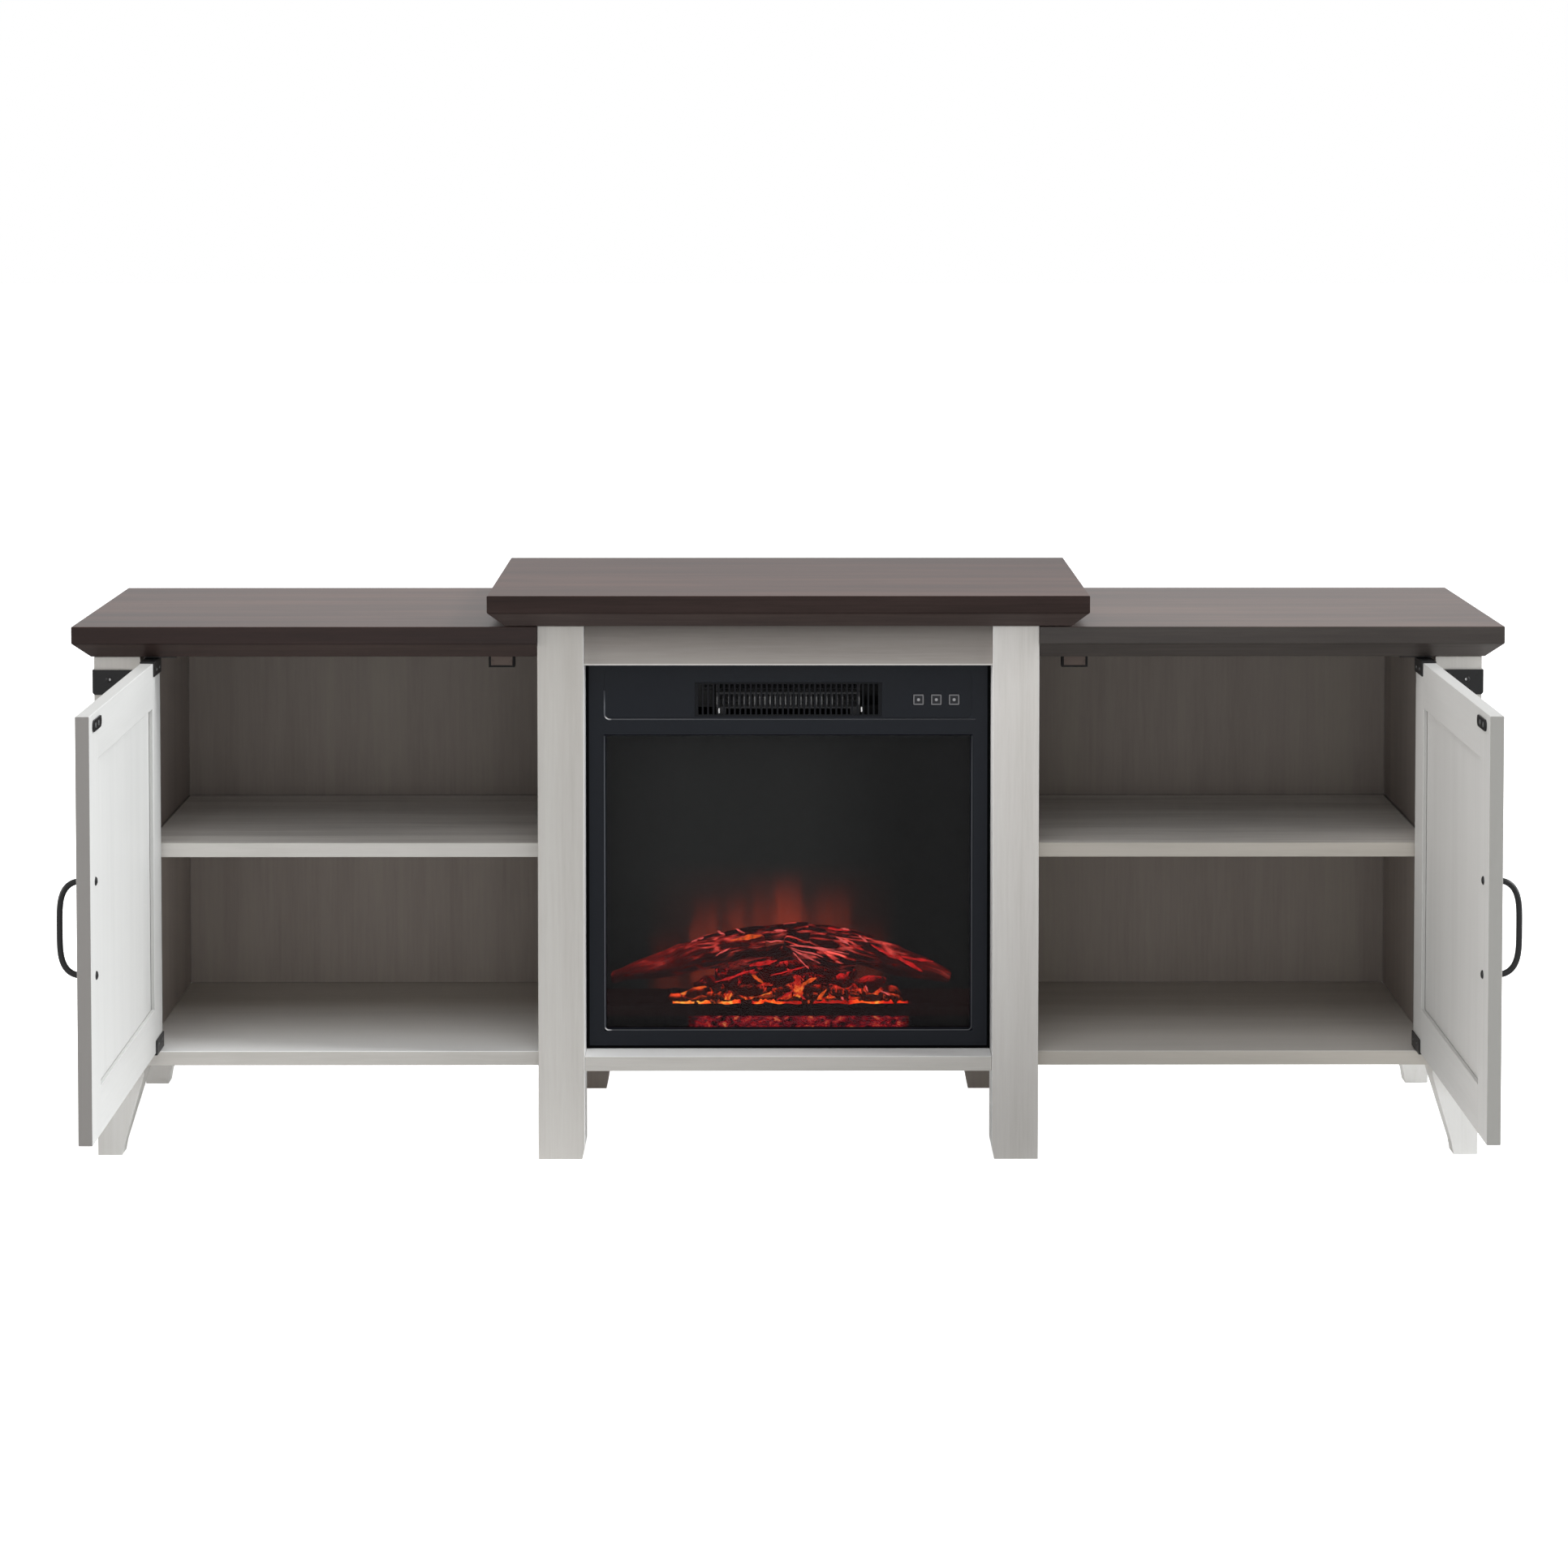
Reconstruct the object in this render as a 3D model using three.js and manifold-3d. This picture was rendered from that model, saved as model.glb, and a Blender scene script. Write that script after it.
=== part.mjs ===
// TV stand with an electric fireplace between two door cabinets.
// Millimetres. X to the right, Y to the back, Z up, floor at Z = 0.
// Each distance in Y is measured from the front face of the two centre legs, and at the end
// the whole stand is centred on the origin. The two doors stand open at a right angle.

import * as THREE from 'three';
import { mergeVertices } from 'three/addons/utils/BufferGeometryUtils.js';
import Module from 'manifold-3d';

// Overall sizes
const WIDTH = 1752;
const HEIGHT = 698.8;
const BACK = 408;
const UNDERSIDE = 112;

// Clearances
const SEAT_GAP = 0.3;
const RUNNING_GAP = 0.8;
const RUNNING_FIT = 0.1;
const OVERRUN = 5;

// Tops: a square edge with a bevel under it
const TOP_THICK = 39.3;
const TOP_SQUARE_EDGE = 20.8;
const TOP_BEVEL_RUN = 20.4;
const TOP_OVERHANG = 23.6;
const CENTRE_TOP_WIDTH = 734;
const TOP_STEP_GAP = 0.8;

// Legs
const LEG = 56.8;
const OUTER_LEG_SETBACK = 20;
const OUTER_FOOT = 30;
const TAPER_BELOW_FLOOR = 14;
const FOOT_CHAMFER_HEIGHT = 14;
const FOOT_CHAMFER = 2.4;
const CENTRE_LEG_CHAMFER = 3;

// Panels
const PANEL = 18;
const SHELF_THICK = 17.6;
const SIDE_PANEL_THICK = 15;
const DIVIDER_THICK = 14;
const BACK_PANEL_THICK = 4;
const BACK_PANEL_INSET = 2;
const CENTRE_BAY_WIDTH = 614.2;
const CENTRE_FLOOR_DROP = 2.8;
const CENTRE_FLOOR_SETBACK = 2;
const SHELF_RISE = 254;
const SHELF_DOOR_GAP = 1.3;
const SHELF_BACK_GAP = 10;
const APRON_THICK = 15;
const APRON_HEIGHT = 49.2;
const APRON_SETBACK = 5;
const REAR_RAIL_THICK = 18;
const REAR_RAIL_HEIGHT = 60;

// Doors
const DOOR_THICK = 16;
const DOOR_SETBACK = 1.2;
const DOOR_FREE_GAP = 2.8;
const DOOR_STILE = 55;
const DOOR_PANEL_THICK = 5.4;
const DOOR_GROOVE_DEPTH = 7;
const PIVOT_FROM_END = 9.2;
const DOOR_OPEN_ANGLE = Math.PI / 2;

// Pivot hinges
const HINGE_PLATE = 1.6;
const HINGE_LENGTH = 52;
const HINGE_FLANGE = 16.5;
const HINGE_PIN_RADIUS = 2;
const TOP_SOCKET_LENGTH = 40;
const BOTTOM_SOCKET_LENGTH = 16.8;
const SOCKET_WIDTH = 14;

// Door handles
const HANDLE_CENTRES = 105;
const HANDLE_BELOW_MIDDLE = 2;
const HANDLE_FROM_EDGE = 31;
const HANDLE_BAR_RADIUS = 3.5;
const HANDLE_REACH = 24.4;
const HANDLE_BOW = 2.4;
const HANDLE_CORNER = 18;
const SCREW_RADIUS = 2;
const SCREW_HEAD_RADIUS = 4;
const SCREW_HEAD = 2;

// Catches and their strike plates
const STRIKE_LENGTH = 51;
const STRIKE_WIDTH = 13;
const STRIKE_THICK = 1.5;
const STRIKE_FROM_EDGE = 43.5;
const STRIKE_BELOW_TOP = 14;
const CATCH_LENGTH = 32;
const CATCH_DEPTH = 15;
const CATCH_HEIGHT = 16;
const CATCH_POLE = 2;
const CATCH_POLE_REACH = 1;
const CATCH_PLAY = 0.5;

// Corner straps on the outer front legs
const STRAP_INSET = 9.3;
const STRAP_HEIGHT = 30.7;
const STRAP_BELOW_TOP = 16.3;
const STRAP_THICK = 1.5;
const STRAP_RETURN = 26;
const STRAP_CORNER = 4;
const RIVET_RADIUS = 3.6;
const RIVET_HEIGHT = 1.6;
const RIVET_FROM_OUTSIDE = 20;

// Fireplace front
const FASCIA_SETBACK = 44;
const FASCIA_THICK = 8;
const FASCIA_HEADROOM = 45.5;
const FASCIA_RAIL = 21.7;
const FASCIA_RIM = 8;
const FASCIA_RIM_DEPTH = 3.2;
const WINDOW_BELOW_BAND = 20;
const WINDOW_BEVEL = 2.6;
const GLASS_THICK = 2.9;
const GLASS_LAP = 6;
const BAND_BELOW_TOP = 14;
const BAND_HEIGHT = 61;
const BAND_INSET = 1;
const BAND_CORNER = 8;
const BAND_DEPTH = 1;
const VENT_FROM_BAND_END = 111.5;
const VENT_RISE = 2.4;
const VENT_HEIGHT = 42;
const GRILLE_THICK = 4;
const GRILLE_FRAME = 1.8;
const SLAT_PITCH = 6.6;
const SLAT_WIDTH = 2.2;

// Buttons
const BUTTON = 13.4;
const BUTTON_CORNER = 2.2;
const BUTTON_PITCH = 22;
const BUTTONS_FROM_BAND_END = 44;
const BUTTON_RISE = 23;
const BUTTON_PLAY = 0.4;
const BUTTON_PROUD = 0.6;
const BUTTON_TRAVEL = 1.5;
const BUTTON_FLANGE = 2.4;
const BUTTON_FLANGE_THICK = 1.2;
const BUTTON_STEM_RADIUS = 2.5;
const BUTTON_STEM = 3;
const BUTTON_COUNT = 3;
const BOARD_THICK = 1.6;
const BOARD_MARGIN = 7;
const BOARD_POST_RADIUS = 2.5;
const BOARD_CLEAR = 0.8;

// Fireplace body
const HOUSING_INSET = 11.7;
const HOUSING_BELOW_TOP = 8;
const HOUSING_SPARE_DEPTH = 20.2;
const SHEET = 1.6;
const HOUSING_FLANGE = 7;
const DUCT_BELOW_BAND = 12;
const INTAKE_SLOT_WIDTH = 5;
const INTAKE_SLOT_HEIGHT = 34;
const INTAKE_PITCH = 14;
const INTAKE_FROM_END = 108;
const GLAND_RADIUS = 7;
const GLAND_BORE_RADIUS = 4.2;
const GLAND_FLANGE_RADIUS = 10.5;
const GLAND_FLANGE = 2.5;
const GLAND_REACH = 8;
const GLAND_FROM_END = 42;
const GLAND_RISE = 30.5;

// Heater and blower
const HEATER_FROM_VENT_END = 26.5;
const HEATER_HEIGHT = 20;
const HEATER_DEPTH = 14;
const HEATER_RISE = 31;
const HEATER_FROM_FRONT = 10.2;
const HEATER_RAIL = 2;
const HEATER_FIN = 1.6;
const HEATER_FIN_PITCH = 6.4;
const HEATER_FOOT = 12;
const WHEEL_RADIUS = 22;
const WHEEL_FROM_VENT_END = 25.5;
const WHEEL_FROM_HEATER = 20;
const WHEEL_RISE = 39;
const WHEEL_DISC = 2;
const WHEEL_BLADE = 1.4;
const WHEEL_BLADE_CHORD = 7;
const WHEEL_BLADE_TILT = 0.6;
const WHEEL_BLADES = 18;
const AXLE_RADIUS = 3;
const AXLE_STUB = 14;
const MOTOR_RIM = 3;
const MOTOR_LENGTH = 34;
const MOTOR_FOOT = 30;
const PEDESTAL_THICK = 4;
const PEDESTAL_WIDTH = 24;

// Flame effect
const SCREEN_THICK = 3;
const SCREEN_FROM_BED = 6;
const ROTOR_FROM_SCREEN = 18;
const ROTOR_RISE = 56.6;
const ROTOR_FROM_END = 38;
const ROTOR_SHAFT_RADIUS = 2.5;
const PADDLE_LENGTH = 17;
const PADDLE_SPAN = 26;
const PADDLE_THICK = 0.9;
const PADDLE_COUNT = 18;
const PADDLE_TURN = 0.7;
const ROTOR_MOTOR_RADIUS = 16;
const ROTOR_MOTOR_LENGTH = 18;
const ROTOR_STUB = 7;

// Ember bed and logs, which are one moulding
const BED_FROM_FRONT = 22.2;
const BED_DEPTH = 50;
const BED_HEIGHT = 46;
const BED_RELIEF = 4;
const BED_WAVE = 38;
const BED_MARGIN = 6;
const BED_COLUMNS = 48;
const BED_ROWS = 6;
const PILE_FROM_END = 33;
const PILE_HEIGHT = 90;
const LOG_RADIUS = 17;
const LOG_BEND = 5;
const LOG_SIDES = 12;
const LOG_RINGS = 10;
const LOG_GNARL_SHARE = 0.13;
const LOG_TAPER_SHARE = 0.25;

// Each log of the pile runs between two points, given as shares of the pile's half width,
// of the bed's depth and of the pile's height above the bed
const LOG_SHARES = [
  { from: [-1.05, 0.5, 0.3], to: [-0.1, 0.55, 0.85], girth: 1 },
  { from: [0.96, 0.5, 0.32], to: [0.08, 0.55, 0.9], girth: 1 },
  { from: [-0.6, 0.62, 0.62], to: [0.34, 0.66, 0.95], girth: 0.7 },
  { from: [-0.68, 0.28, 0.08], to: [-0.04, 0.36, 0.48], girth: 0.7 },
  { from: [0.64, 0.28, 0.08], to: [-0.02, 0.34, 0.44], girth: 0.7 },
  { from: [-0.3, 0.26, 0.12], to: [0.1, 0.5, 0.86], girth: 0.6 },
  { from: [0.34, 0.26, 0.12], to: [-0.14, 0.5, 0.84], girth: 0.6 },
];

// Facets
const ROUND_SIDES = 24;
const SMALL_ROUND_SIDES = 16;
const CORNER_STEPS = 5;
const HANDLE_SIDES = 12;
const HANDLE_STEPS = 30;

// Places worked out from the sizes above
const HALF_WIDTH = WIDTH / 2;
const CENTRE_TOP_UNDER = HEIGHT - TOP_THICK;
const SIDE_TOP = CENTRE_TOP_UNDER - TOP_STEP_GAP;
const SIDE_TOP_UNDER = SIDE_TOP - TOP_THICK;
const CABINET_FLOOR_TOP = UNDERSIDE + PANEL;
const CENTRE_FLOOR_TOP = CABINET_FLOOR_TOP - CENTRE_FLOOR_DROP;
const TAPER_HEIGHT = UNDERSIDE - TAPER_BELOW_FLOOR;
const SHELF_TOP = CABINET_FLOOR_TOP + SHELF_RISE;
const OUTER_LEG_OUT = HALF_WIDTH - TOP_OVERHANG;
const OUTER_LEG_IN = OUTER_LEG_OUT - LEG;
const CENTRE_LEG_OUT = CENTRE_BAY_WIDTH / 2;
const CENTRE_LEG_IN = CENTRE_LEG_OUT - LEG;
const DIVIDER_IN = CENTRE_LEG_OUT - DIVIDER_THICK;
const REAR_LEG_OUT = DIVIDER_IN - SEAT_GAP;
const REAR_LEG_IN = REAR_LEG_OUT - LEG;
const REAR_LEG_FRONT = BACK - LEG;
const CABINET_IN = CENTRE_LEG_OUT + SEAT_GAP;
const CABINET_OUT = OUTER_LEG_IN - SEAT_GAP;
const CABINET_CEILING = SIDE_TOP_UNDER - SEAT_GAP;
const BACK_PANEL_BACK = BACK - BACK_PANEL_INSET;
const BACK_PANEL_FRONT = BACK_PANEL_BACK - BACK_PANEL_THICK;

// The door's outer corner and the bracket's inner corner swing round the pivot
const DOOR_HALF = DOOR_THICK / 2;
const DOOR_SWING = Math.hypot(PIVOT_FROM_END, DOOR_HALF);
const BRACKET_SWING = Math.hypot(PIVOT_FROM_END, DOOR_HALF + SEAT_GAP + HINGE_PLATE);
const PIVOT_X = OUTER_LEG_IN - DOOR_SWING - RUNNING_GAP;
const DOOR_END = PIVOT_X + PIVOT_FROM_END;
const DOOR_LENGTH = DOOR_END - CENTRE_LEG_OUT - DOOR_FREE_GAP;
const DOOR_FREE_END = PIVOT_FROM_END - DOOR_LENGTH;
const DOOR_OUTER_FACE = OUTER_LEG_SETBACK + DOOR_SETBACK;
const PIVOT_Y = DOOR_OUTER_FACE + DOOR_HALF;
const DOOR_GAP = 2 * HINGE_PLATE + 2 * SEAT_GAP + RUNNING_GAP;
const DOOR_BOTTOM = CABINET_FLOOR_TOP + DOOR_GAP;
const DOOR_TOP = SIDE_TOP_UNDER - DOOR_GAP;
const SHELF_FRONT = PIVOT_Y + BRACKET_SWING + SHELF_DOOR_GAP;
const HANDLE_MIDDLE = (DOOR_BOTTOM + DOOR_TOP) / 2 - HANDLE_BELOW_MIDDLE;
const STRAP_WIDTH = LEG - STRAP_INSET;

const FASCIA_BOTTOM = CENTRE_FLOOR_TOP + SEAT_GAP;
const FASCIA_TOP = CENTRE_TOP_UNDER - FASCIA_HEADROOM;
const FASCIA_HALF = CENTRE_LEG_IN - 2 * SEAT_GAP;
const FASCIA_BACK = FASCIA_SETBACK + FASCIA_THICK;
const WINDOW_HALF = FASCIA_HALF - FASCIA_RAIL;
const BAND_HALF = WINDOW_HALF - BAND_INSET;
const BAND_TOP = FASCIA_TOP - BAND_BELOW_TOP;
const BAND_BOTTOM = BAND_TOP - BAND_HEIGHT;
const WINDOW_TOP = BAND_BOTTOM - WINDOW_BELOW_BAND;
const WINDOW_BOTTOM = FASCIA_BOTTOM + FASCIA_RAIL;
const VENT_HALF = BAND_HALF - VENT_FROM_BAND_END;
const VENT_BOTTOM = BAND_BOTTOM + VENT_RISE;
const VENT_TOP = VENT_BOTTOM + VENT_HEIGHT;
const BUTTON_MIDDLE_X = BAND_HALF - BUTTONS_FROM_BAND_END;
const BUTTON_Z = BAND_BOTTOM + BUTTON_RISE;
const GLASS_FRONT = FASCIA_BACK + SEAT_GAP;

const HOUSING_FRONT = FASCIA_BACK + FASCIA_RIM_DEPTH + 2 * SEAT_GAP;
const HOUSING_HALF = FASCIA_HALF - HOUSING_INSET;
const HOUSING_BOTTOM = CENTRE_FLOOR_TOP + SEAT_GAP;
const HOUSING_TOP = FASCIA_TOP - HOUSING_BELOW_TOP;
const INSIDE_HALF = HOUSING_HALF - SHEET - SEAT_GAP;
const FIREBOX_FLOOR = HOUSING_BOTTOM + SHEET + SEAT_GAP;
const BED_FRONT = HOUSING_FRONT + BED_FROM_FRONT;
const BED_BACK = BED_FRONT + BED_DEPTH;
const PILE_HALF_WIDTH = HOUSING_HALF - PILE_FROM_END;
const SCREEN_FRONT = BED_BACK + SCREEN_FROM_BED;
const ROTOR_AXIS_Y = SCREEN_FRONT + SCREEN_THICK + ROTOR_FROM_SCREEN + PADDLE_SPAN / 2;
const ROTOR_AXIS_Z = FIREBOX_FLOOR + ROTOR_RISE;
const ROTOR_END = HOUSING_HALF - ROTOR_FROM_END;
const HOUSING_BACK = ROTOR_AXIS_Y + ROTOR_MOTOR_RADIUS + HOUSING_SPARE_DEPTH + SHEET;
const GLAND_X = HOUSING_HALF - GLAND_FROM_END;
const GLAND_Z = HOUSING_BOTTOM + GLAND_RISE;

const DUCT_FLOOR = BAND_BOTTOM - DUCT_BELOW_BAND;
const DUCT_SEAT = DUCT_FLOOR + SHEET + SEAT_GAP;
const HEATER_HALF = VENT_HALF - HEATER_FROM_VENT_END;
const HEATER_FRONT = HOUSING_FRONT + HEATER_FROM_FRONT;
const HEATER_MIDDLE = DUCT_FLOOR + HEATER_RISE;
const WHEEL_END = VENT_HALF - WHEEL_FROM_VENT_END;
const WHEEL_AXIS_Y = HEATER_FRONT + HEATER_DEPTH + WHEEL_FROM_HEATER + WHEEL_RADIUS;
const WHEEL_AXIS_Z = DUCT_FLOOR + WHEEL_RISE;
const MOTOR_RADIUS = WHEEL_RADIUS + MOTOR_RIM;

const wasm = await Module();
wasm.setup();

// Materials
function material(color, roughness, metalness) {
  return new THREE.MeshStandardMaterial({ color, roughness, metalness });
}

const whitewash = () => material(0xbdb9b4, 0.6, 0);
const darkWood = () => material(0x4a403c, 0.5, 0);
const innerWood = () => material(0x8c857e, 0.7, 0);
const blackMetal = () => material(0x1d1d1e, 0.5, 0.7);
const blackPlastic = () => material(0x222426, 0.45, 0);
const darkSteel = () => material(0x2a2a2b, 0.6, 0.6);
const glass = () => material(0x202224, 0.05, 0);
const brightMetal = () => material(0xb4b4b0, 0.3, 1);
const bark = () => material(0x4a2a20, 0.85, 0);
const circuit = () => material(0x2c4a34, 0.6, 0);

// Solids: a geometry becomes a manifold for a cut or a join, and comes back as a geometry
function merged(geometry) {
  const plain = geometry.clone();
  plain.deleteAttribute('normal');
  plain.deleteAttribute('uv');
  return mergeVertices(plain);
}

function solid(geometry) {
  const plain = merged(geometry);
  return new wasm.Manifold(new wasm.Mesh({
    numProp: 3,
    vertProperties: new Float32Array(plain.attributes.position.array),
    triVerts: new Uint32Array(plain.index.array),
  }));
}

function surface(body) {
  const mesh = body.getMesh();
  const geometry = new THREE.BufferGeometry();
  geometry.setAttribute('position', new THREE.BufferAttribute(mesh.vertProperties, 3));
  geometry.setIndex(new THREE.BufferAttribute(mesh.triVerts, 1));
  geometry.computeVertexNormals();
  return geometry;
}

function join(pieces) {
  return pieces.reduce((whole, piece) => whole.add(piece));
}

function cut(body, tools) {
  return tools.reduce((rest, tool) => rest.subtract(tool), body);
}

// Geometry for the left-hand piece from the right-hand one
function mirrored(geometry) {
  const copy = merged(geometry);
  copy.scale(-1, 1, 1);
  const index = copy.index.array;
  for (let i = 0; i < index.length; i += 3) {
    [index[i], index[i + 1]] = [index[i + 1], index[i]];
  }
  copy.computeVertexNormals();
  return copy;
}

function handed(side, geometry) {
  return side > 0 ? geometry : mirrored(geometry);
}

// Shapes
function boxGeometry([x0, x1], [y0, y1], [z0, z1]) {
  const geometry = new THREE.BoxGeometry(x1 - x0, y1 - y0, z1 - z0);
  geometry.translate((x0 + x1) / 2, (y0 + y1) / 2, (z0 + z1) / 2);
  return geometry;
}

function box(x, y, z) {
  return solid(boxGeometry(x, y, z));
}

function roundedRect([x0, x1], [z0, z1], radius) {
  const shape = new THREE.Shape();
  shape.absarc(x1 - radius, z0 + radius, radius, -Math.PI / 2, 0, false);
  shape.absarc(x1 - radius, z1 - radius, radius, 0, Math.PI / 2, false);
  shape.absarc(x0 + radius, z1 - radius, radius, Math.PI / 2, Math.PI, false);
  shape.absarc(x0 + radius, z0 + radius, radius, Math.PI, Math.PI * 1.5, false);
  shape.closePath();
  return shape;
}

function outline(points) {
  return new THREE.Shape(points.map(([x, y]) => new THREE.Vector2(x, y)));
}

// A flat shape drawn in X and Z, given its thickness in Y
function plateInY(shape, [y0, y1]) {
  const options = { depth: y1 - y0, bevelEnabled: false, curveSegments: CORNER_STEPS };
  const geometry = new THREE.ExtrudeGeometry(shape, options);
  geometry.rotateX(Math.PI / 2);
  geometry.translate(0, y1, 0);
  return geometry;
}

// A flat shape drawn in X and Y, given its thickness in Z
function plateInZ(shape, [z0, z1]) {
  const options = { depth: z1 - z0, bevelEnabled: false, curveSegments: CORNER_STEPS };
  const geometry = new THREE.ExtrudeGeometry(shape, options);
  geometry.translate(0, 0, z0);
  return geometry;
}

function rodInX(radius, [x0, x1], y, z, sides = ROUND_SIDES) {
  const geometry = new THREE.CylinderGeometry(radius, radius, x1 - x0, sides);
  geometry.rotateZ(Math.PI / 2);
  geometry.translate((x0 + x1) / 2, y, z);
  return solid(geometry);
}

function rodInY(radius, x, [y0, y1], z, sides = ROUND_SIDES) {
  const geometry = new THREE.CylinderGeometry(radius, radius, y1 - y0, sides);
  geometry.translate(x, (y0 + y1) / 2, z);
  return solid(geometry);
}

function rodInZ(radius, x, y, [z0, z1], sides = ROUND_SIDES) {
  const geometry = new THREE.CylinderGeometry(radius, radius, z1 - z0, sides);
  geometry.rotateX(Math.PI / 2);
  geometry.translate(x, y, (z0 + z1) / 2);
  return solid(geometry);
}

// A closed skin through rings of points, each ring anticlockwise seen from its far end
function loft(rings) {
  const count = rings[0].length;
  const last = (rings.length - 1) * count;
  const index = [];
  for (let start = 0; start < last; start += count) {
    for (let i = 0; i < count; i += 1) {
      const next = (i + 1) % count;
      index.push(start + i, start + next, start + count + next);
      index.push(start + i, start + count + next, start + count + i);
    }
  }
  for (let i = 1; i < count - 1; i += 1) {
    index.push(0, i + 1, i);
    index.push(last, last + i, last + i + 1);
  }
  const geometry = new THREE.BufferGeometry();
  geometry.setAttribute('position', new THREE.Float32BufferAttribute(rings.flat(2), 3));
  geometry.setIndex(index);
  geometry.computeVertexNormals();
  return geometry;
}

function rectRing([x0, x1], [y0, y1], z) {
  return [[x0, y0, z], [x1, y0, z], [x1, y1, z], [x0, y1, z]];
}

// Adding named pieces to a group
function add(group, name, geometry, look) {
  const mesh = new THREE.Mesh(geometry, look);
  mesh.name = name;
  group.add(mesh);
  return mesh;
}

function addBox(group, name, [x0, x1], [y0, y1], [z0, z1], look) {
  const mesh = add(group, name, new THREE.BoxGeometry(x1 - x0, y1 - y0, z1 - z0), look);
  mesh.position.set((x0 + x1) / 2, (y0 + y1) / 2, (z0 + z1) / 2);
  return mesh;
}

// A stretch between two distances from the middle, on the right or on the left
function across(side, inner, outer) {
  return side > 0 ? [inner, outer] : [-outer, -inner];
}

function sideName(side) {
  return side > 0 ? 'right' : 'left';
}

// The tops
function topGeometry([x0, x1], front, top, bevelLeft, bevelRight) {
  const left = x0 + TOP_BEVEL_RUN * bevelLeft;
  const right = x1 - TOP_BEVEL_RUN * bevelRight;
  const under = top - TOP_THICK;
  return loft([
    rectRing([left, right], [front + TOP_BEVEL_RUN, BACK], under),
    rectRing([x0, x1], [front, BACK], top - TOP_SQUARE_EDGE),
    rectRing([x0, x1], [front, BACK], top),
  ]);
}

function addTops(group) {
  const centre = CENTRE_TOP_WIDTH / 2;
  const centreShape = topGeometry([-centre, centre], -TOP_OVERHANG, HEIGHT, 1, 1);
  add(group, 'centre_top', centreShape, darkWood());
  const sideFront = OUTER_LEG_SETBACK - TOP_OVERHANG;
  for (const side of [-1, 1]) {
    const shape = topGeometry([CABINET_IN, HALF_WIDTH], sideFront, SIDE_TOP, 0, 1);
    add(group, `${sideName(side)}_top`, handed(side, shape), darkWood());
  }
}

// The legs
function outerLeg(front) {
  const sizes = [
    [OUTER_FOOT, 0],
    [OUTER_FOOT + FOOT_CHAMFER, FOOT_CHAMFER_HEIGHT],
    [LEG, TAPER_HEIGHT],
    [LEG, CABINET_CEILING],
  ];
  return loft(sizes.map(([size, z]) => {
    const y = front ? [OUTER_LEG_SETBACK, OUTER_LEG_SETBACK + size] : [BACK - size, BACK];
    return rectRing([OUTER_LEG_OUT - size, OUTER_LEG_OUT], y, z);
  }));
}

function centreLeg(inner, [y0, y1]) {
  const outer = inner + LEG;
  return loft([
    rectRing([inner + CENTRE_LEG_CHAMFER, outer], [y0, y1], 0),
    rectRing([inner, outer], [y0, y1], FOOT_CHAMFER_HEIGHT),
    rectRing([inner, outer], [y0, y1], CENTRE_TOP_UNDER - SEAT_GAP),
  ]);
}

function addLegs(group, side) {
  const name = sideName(side);
  const rear = [REAR_LEG_FRONT, BACK];
  add(group, `front_outer_leg_${name}`, handed(side, outerLeg(true)), whitewash());
  add(group, `rear_outer_leg_${name}`, handed(side, outerLeg(false)), whitewash());
  add(group, `front_centre_leg_${name}`, handed(side, centreLeg(CENTRE_LEG_IN, [0, LEG])), whitewash());
  add(group, `rear_centre_leg_${name}`, handed(side, centreLeg(REAR_LEG_IN, rear)), whitewash());
}

// The panels of one door cabinet
function addCabinet(group, side) {
  const name = sideName(side);
  const inside = across(side, CABINET_IN, CABINET_OUT);
  const upper = CENTRE_TOP_UNDER - SEAT_GAP;
  addBox(group, `side_panel_${name}`,
    across(side, OUTER_LEG_IN, OUTER_LEG_IN + SIDE_PANEL_THICK),
    [OUTER_LEG_SETBACK + LEG + SEAT_GAP, REAR_LEG_FRONT - SEAT_GAP],
    [CABINET_FLOOR_TOP - PANEL, CABINET_CEILING], whitewash());
  addBox(group, `divider_${name}`, across(side, DIVIDER_IN, CENTRE_LEG_OUT),
    [LEG + SEAT_GAP, BACK], [CENTRE_FLOOR_TOP - PANEL, upper], innerWood());
  addBox(group, `cabinet_floor_${name}`, inside,
    [OUTER_LEG_SETBACK, BACK], [CABINET_FLOOR_TOP - PANEL, CABINET_FLOOR_TOP], whitewash());
  addBox(group, `shelf_${name}`, inside,
    [SHELF_FRONT, BACK_PANEL_FRONT - SHELF_BACK_GAP], [SHELF_TOP - SHELF_THICK, SHELF_TOP], whitewash());
  addBox(group, `back_panel_${name}`, inside,
    [BACK_PANEL_FRONT, BACK_PANEL_BACK], [CABINET_FLOOR_TOP + SEAT_GAP, CABINET_CEILING], innerWood());
}

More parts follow.
